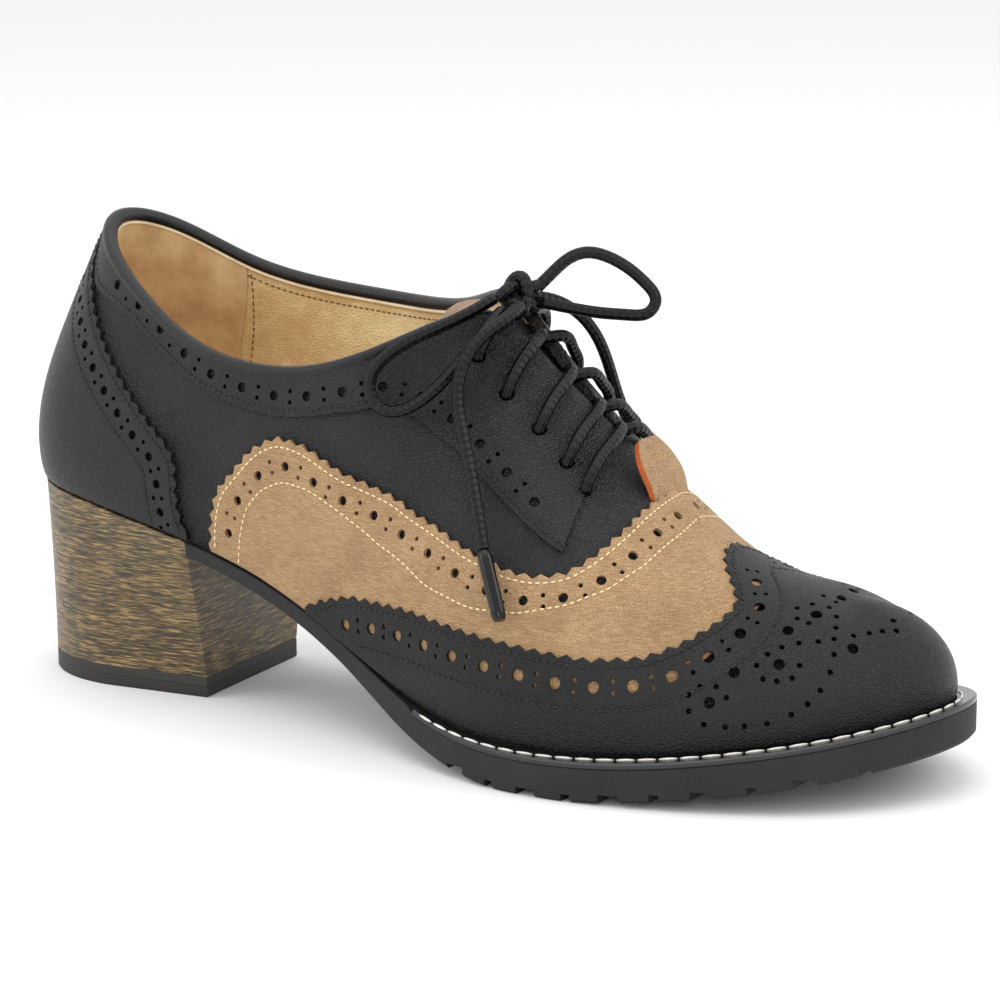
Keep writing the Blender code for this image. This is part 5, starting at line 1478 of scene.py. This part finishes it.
def lace_strand(k, side):
    """The strand that comes up through eyelet k of one side and goes under the facing of the other."""
    eyelet, upper = EYELETS[k], EYELETS[k - 1]
    near, far = (lambda u: u * side % RIBS), (lambda u: -u * side % RIBS)
    climb = upper.rib - eyelet.rib
    centre = sum(surface(place(eyelet.rib + 0.3 * climb), 1.0, 0.0)[0] for place in (near, far)) / 2
    lift = surface(near(eyelet.rib), 1.0, 1.0)[0] - surface(near(eyelet.rib), 1.0, 0.0)[0]
    lift[1] = 0.0
    over = 0.0012 if side == 1 else -0.0012
    share = eyelet.share
    return [
        surface(near(eyelet.rib), share - 0.006, -0.0016)[0],
        surface(near(eyelet.rib), share, 0.0008)[0],
        surface(near(eyelet.rib + 0.02 * climb), share + 0.035, 0.0027)[0],
        surface(near(eyelet.rib + 0.06 * climb), share + (1 - share) * 0.45, 0.0030)[0],
        surface(near(eyelet.rib + 0.12 * climb), share + (1 - share) * 0.85, 0.0030)[0],
        centre + lift / np.linalg.norm(lift) * over,
        surface(far(eyelet.rib + 0.42 * climb), 0.995, -WALL - 0.0010)[0],
        surface(far(eyelet.rib + 0.50 * climb), 0.955, -WALL - 0.0016)[0],
    ]


lace_runs = []
for lace_side in (1, -1):
    for k in range(1, len(EYELETS)):
        name = f"lace_run_{'outer' if lace_side == 1 else 'inner'}_{k}"
        lace_runs.append(lace_tube(name, lace_strand(k, lace_side), LACE_DIAMETER / 2, braid)[0])
KNOT = np.array(KNOT_PLACE) * MILLIMETRE
for lace_side, lace_name in ((1, "outer"), (-1, "inner")):
    top = EYELETS[0]
    rib = top.rib * lace_side % RIBS
    up_through = [surface(rib, top.share - 0.006, -0.0016)[0], surface(rib, top.share, 0.0008)[0]]
    over_facing = [surface(rib, share, depth)[0] for share, depth in ((0.885, 0.0028), (0.95, 0.0030))]
    steps = (0.002, -0.0035 * lace_side, -0.0028), (0.0, -0.001 * lace_side, 0.0)
    to_knot = [KNOT + np.array(step) for step in steps]
    route = up_through + over_facing + to_knot
    lace_runs.append(lace_tube(f"lace_rise_{lace_name}", route, LACE_DIAMETER / 2, braid)[0])
for run in lace_runs:
    hand_over(run, "waxed_cord", "lace_crossings")

# THE BOW. The same lace tied in a bow: a wrapped knot, one loop that lies on the outer quarter and one
# that stands in the air, and two free ends with dark moulded aglets.

knot_wraps = {  # in millimetres from the knot's middle
    "knot_wrap_front": [
        (2.6 * cos(turn) + 0.8, 1.2 * sin(turn) - 0.6, 4.2 * sin(turn)) for turn in np.linspace(0, 2 * pi, 15)
    ],
    "knot_over": ((-1.6, -5.2, -0.6), (-0.6, -3.0, 1.4), (0.3, -0.4, 2.1), (1.5, 2.2, 1.4), (3.6, 5.2, 2.2)),
    "knot_under": (
        (2.4, -4.6, -1.6), (1.6, -2.2, -0.9), (0.6, 0.4, -0.8), (0.0, 2.8, -1.0), (-0.4, 5.2, -0.8)
    ),
}
for knot_name, knot_route in knot_wraps.items():
    knot_line = KNOT + np.array(knot_route) * MILLIMETRE
    knot_piece = lace_tube(knot_name, knot_line, LACE_DIAMETER / 2, braid, rounded=True)[0]
    hand_over(knot_piece, "waxed_cord", "lace_knot")

aglet_plastic, aglet_add, aglet_feed = blank_finish("dark_aglet")
aglet_where = aglet_add("ShaderNodeTexCoord").outputs["Object"]
aglet_marks = aglet_add("ShaderNodeTexNoise", {"Vector": aglet_where, "Scale": 500.0, "Detail": 4.0})
aglet_feed("Base Color", ramp(aglet_add, aglet_marks.outputs["Fac"], dye(5, 5, 6), dye(18, 17, 18)))
aglet_feed("Roughness", 0.16)
aglet_feed("Specular IOR Level", 0.35)
AGLET_DIAMETER = 0.0033
for aglet_name, (aglet_from, aglet_to) in AGLET_ENDS.items():
    aglet_line = np.linspace(aglet_from, aglet_to, 5) * MILLIMETRE
    aglet = lace_tube(aglet_name + "_tip", aglet_line, AGLET_DIAMETER / 2, aglet_plastic, rounded=True)[0]
    hand_over(aglet, "aglet_plastic", aglet_name)

for route_name, route in LACE_ROUTES.items():
    route = np.array(route) * MILLIMETRE
    free_lace, lace_path = lace_tube(route_name + "_lace", route, LACE_DIAMETER / 2, braid)
    hand_over(free_lace, "waxed_cord", route_name)

# THE SHOOTING TABLE. A plain pale sweep under the shoe, lit by soft boxes from above, from the left and
# from behind. None of it is part of the shoe.

floor_mesh = bpy.data.meshes.new("floor")
floor_mesh.from_pydata([(-6, -6, 0), (6, -6, 0), (6, 6, 0), (-6, 6, 0)], [], [(0, 1, 2, 3)])
floor_paint, floor_add, floor_feed = blank_finish("pale_sweep")
floor_feed("Base Color", (0.90, 0.90, 0.90, 1.0))
floor_feed("Roughness", 0.9)
floor_feed("Specular IOR Level", 0.1)
floor_mesh.materials.append(floor_paint)
floor = put("floor", floor_mesh)

SOFT_BOXES = (
    ("overhead", (0.05, -0.10, 1.10), 1.2, 5.0),
    ("left_front", (-0.75, -0.85, 0.65), 0.8, 3.6),
    ("right_back", (0.90, 0.55, 0.80), 0.8, 4.0),
    ("low_front", (0.75, -0.95, 0.45), 0.6, 1.6),
)
SHOE_MIDDLE = Vector((0.08, 0.0, 0.05))
for light_name, light_place, light_width, light_power in SOFT_BOXES:
    soft_box = bpy.data.lights.new(light_name, "AREA")
    soft_box.size = light_width
    soft_box.energy = light_power
    lamp = put(light_name, soft_box)
    lamp.location = light_place
    lamp.rotation_euler = (SHOE_MIDDLE - Vector(light_place)).to_track_quat("-Z", "Y").to_euler()
sky = bpy.data.worlds.new("studio")
sky.use_nodes = True
sky.node_tree.nodes["Background"].inputs["Color"].default_value = (1.0, 1.0, 1.0, 1.0)
sky.node_tree.nodes["Background"].inputs["Strength"].default_value = 1.0
bpy.context.scene.world = sky
bpy.context.scene.view_settings.view_transform = "Standard"

CAMERA_TURN, CAMERA_RISE, CAMERA_ROLL = radians(33.0), radians(13.0), radians(-0.45)
CAMERA_DISTANCE = 0.737
CAMERA_TARGET = Vector((0.089, 0.0, 0.045))
PICTURE_WIDTH = 1000
TARGET_PIXEL = 463, 528
FOCAL_PIXELS = 3165
SENSOR_WIDTH = 36.0
camera_data = bpy.data.cameras.new("camera")
camera_data.sensor_width = SENSOR_WIDTH
camera_data.lens = FOCAL_PIXELS / PICTURE_WIDTH * SENSOR_WIDTH
camera_data.shift_x = 0.5 - TARGET_PIXEL[0] / PICTURE_WIDTH
camera_data.shift_y = TARGET_PIXEL[1] / PICTURE_WIDTH - 0.5
back = Vector(
    (sin(CAMERA_TURN) * cos(CAMERA_RISE), -cos(CAMERA_TURN) * cos(CAMERA_RISE), sin(CAMERA_RISE))
)
level = Vector((cos(CAMERA_TURN), sin(CAMERA_TURN), 0.0))
upright = back.cross(level)
camera_right = level * cos(CAMERA_ROLL) + upright * sin(CAMERA_ROLL)
camera_up = upright * cos(CAMERA_ROLL) - level * sin(CAMERA_ROLL)
camera = put("camera", camera_data)
camera.matrix_world = Matrix.Translation(CAMERA_TARGET + back * CAMERA_DISTANCE) @ Matrix(
    (camera_right, camera_up, back)
).transposed().to_4x4()
bpy.context.scene.camera = camera
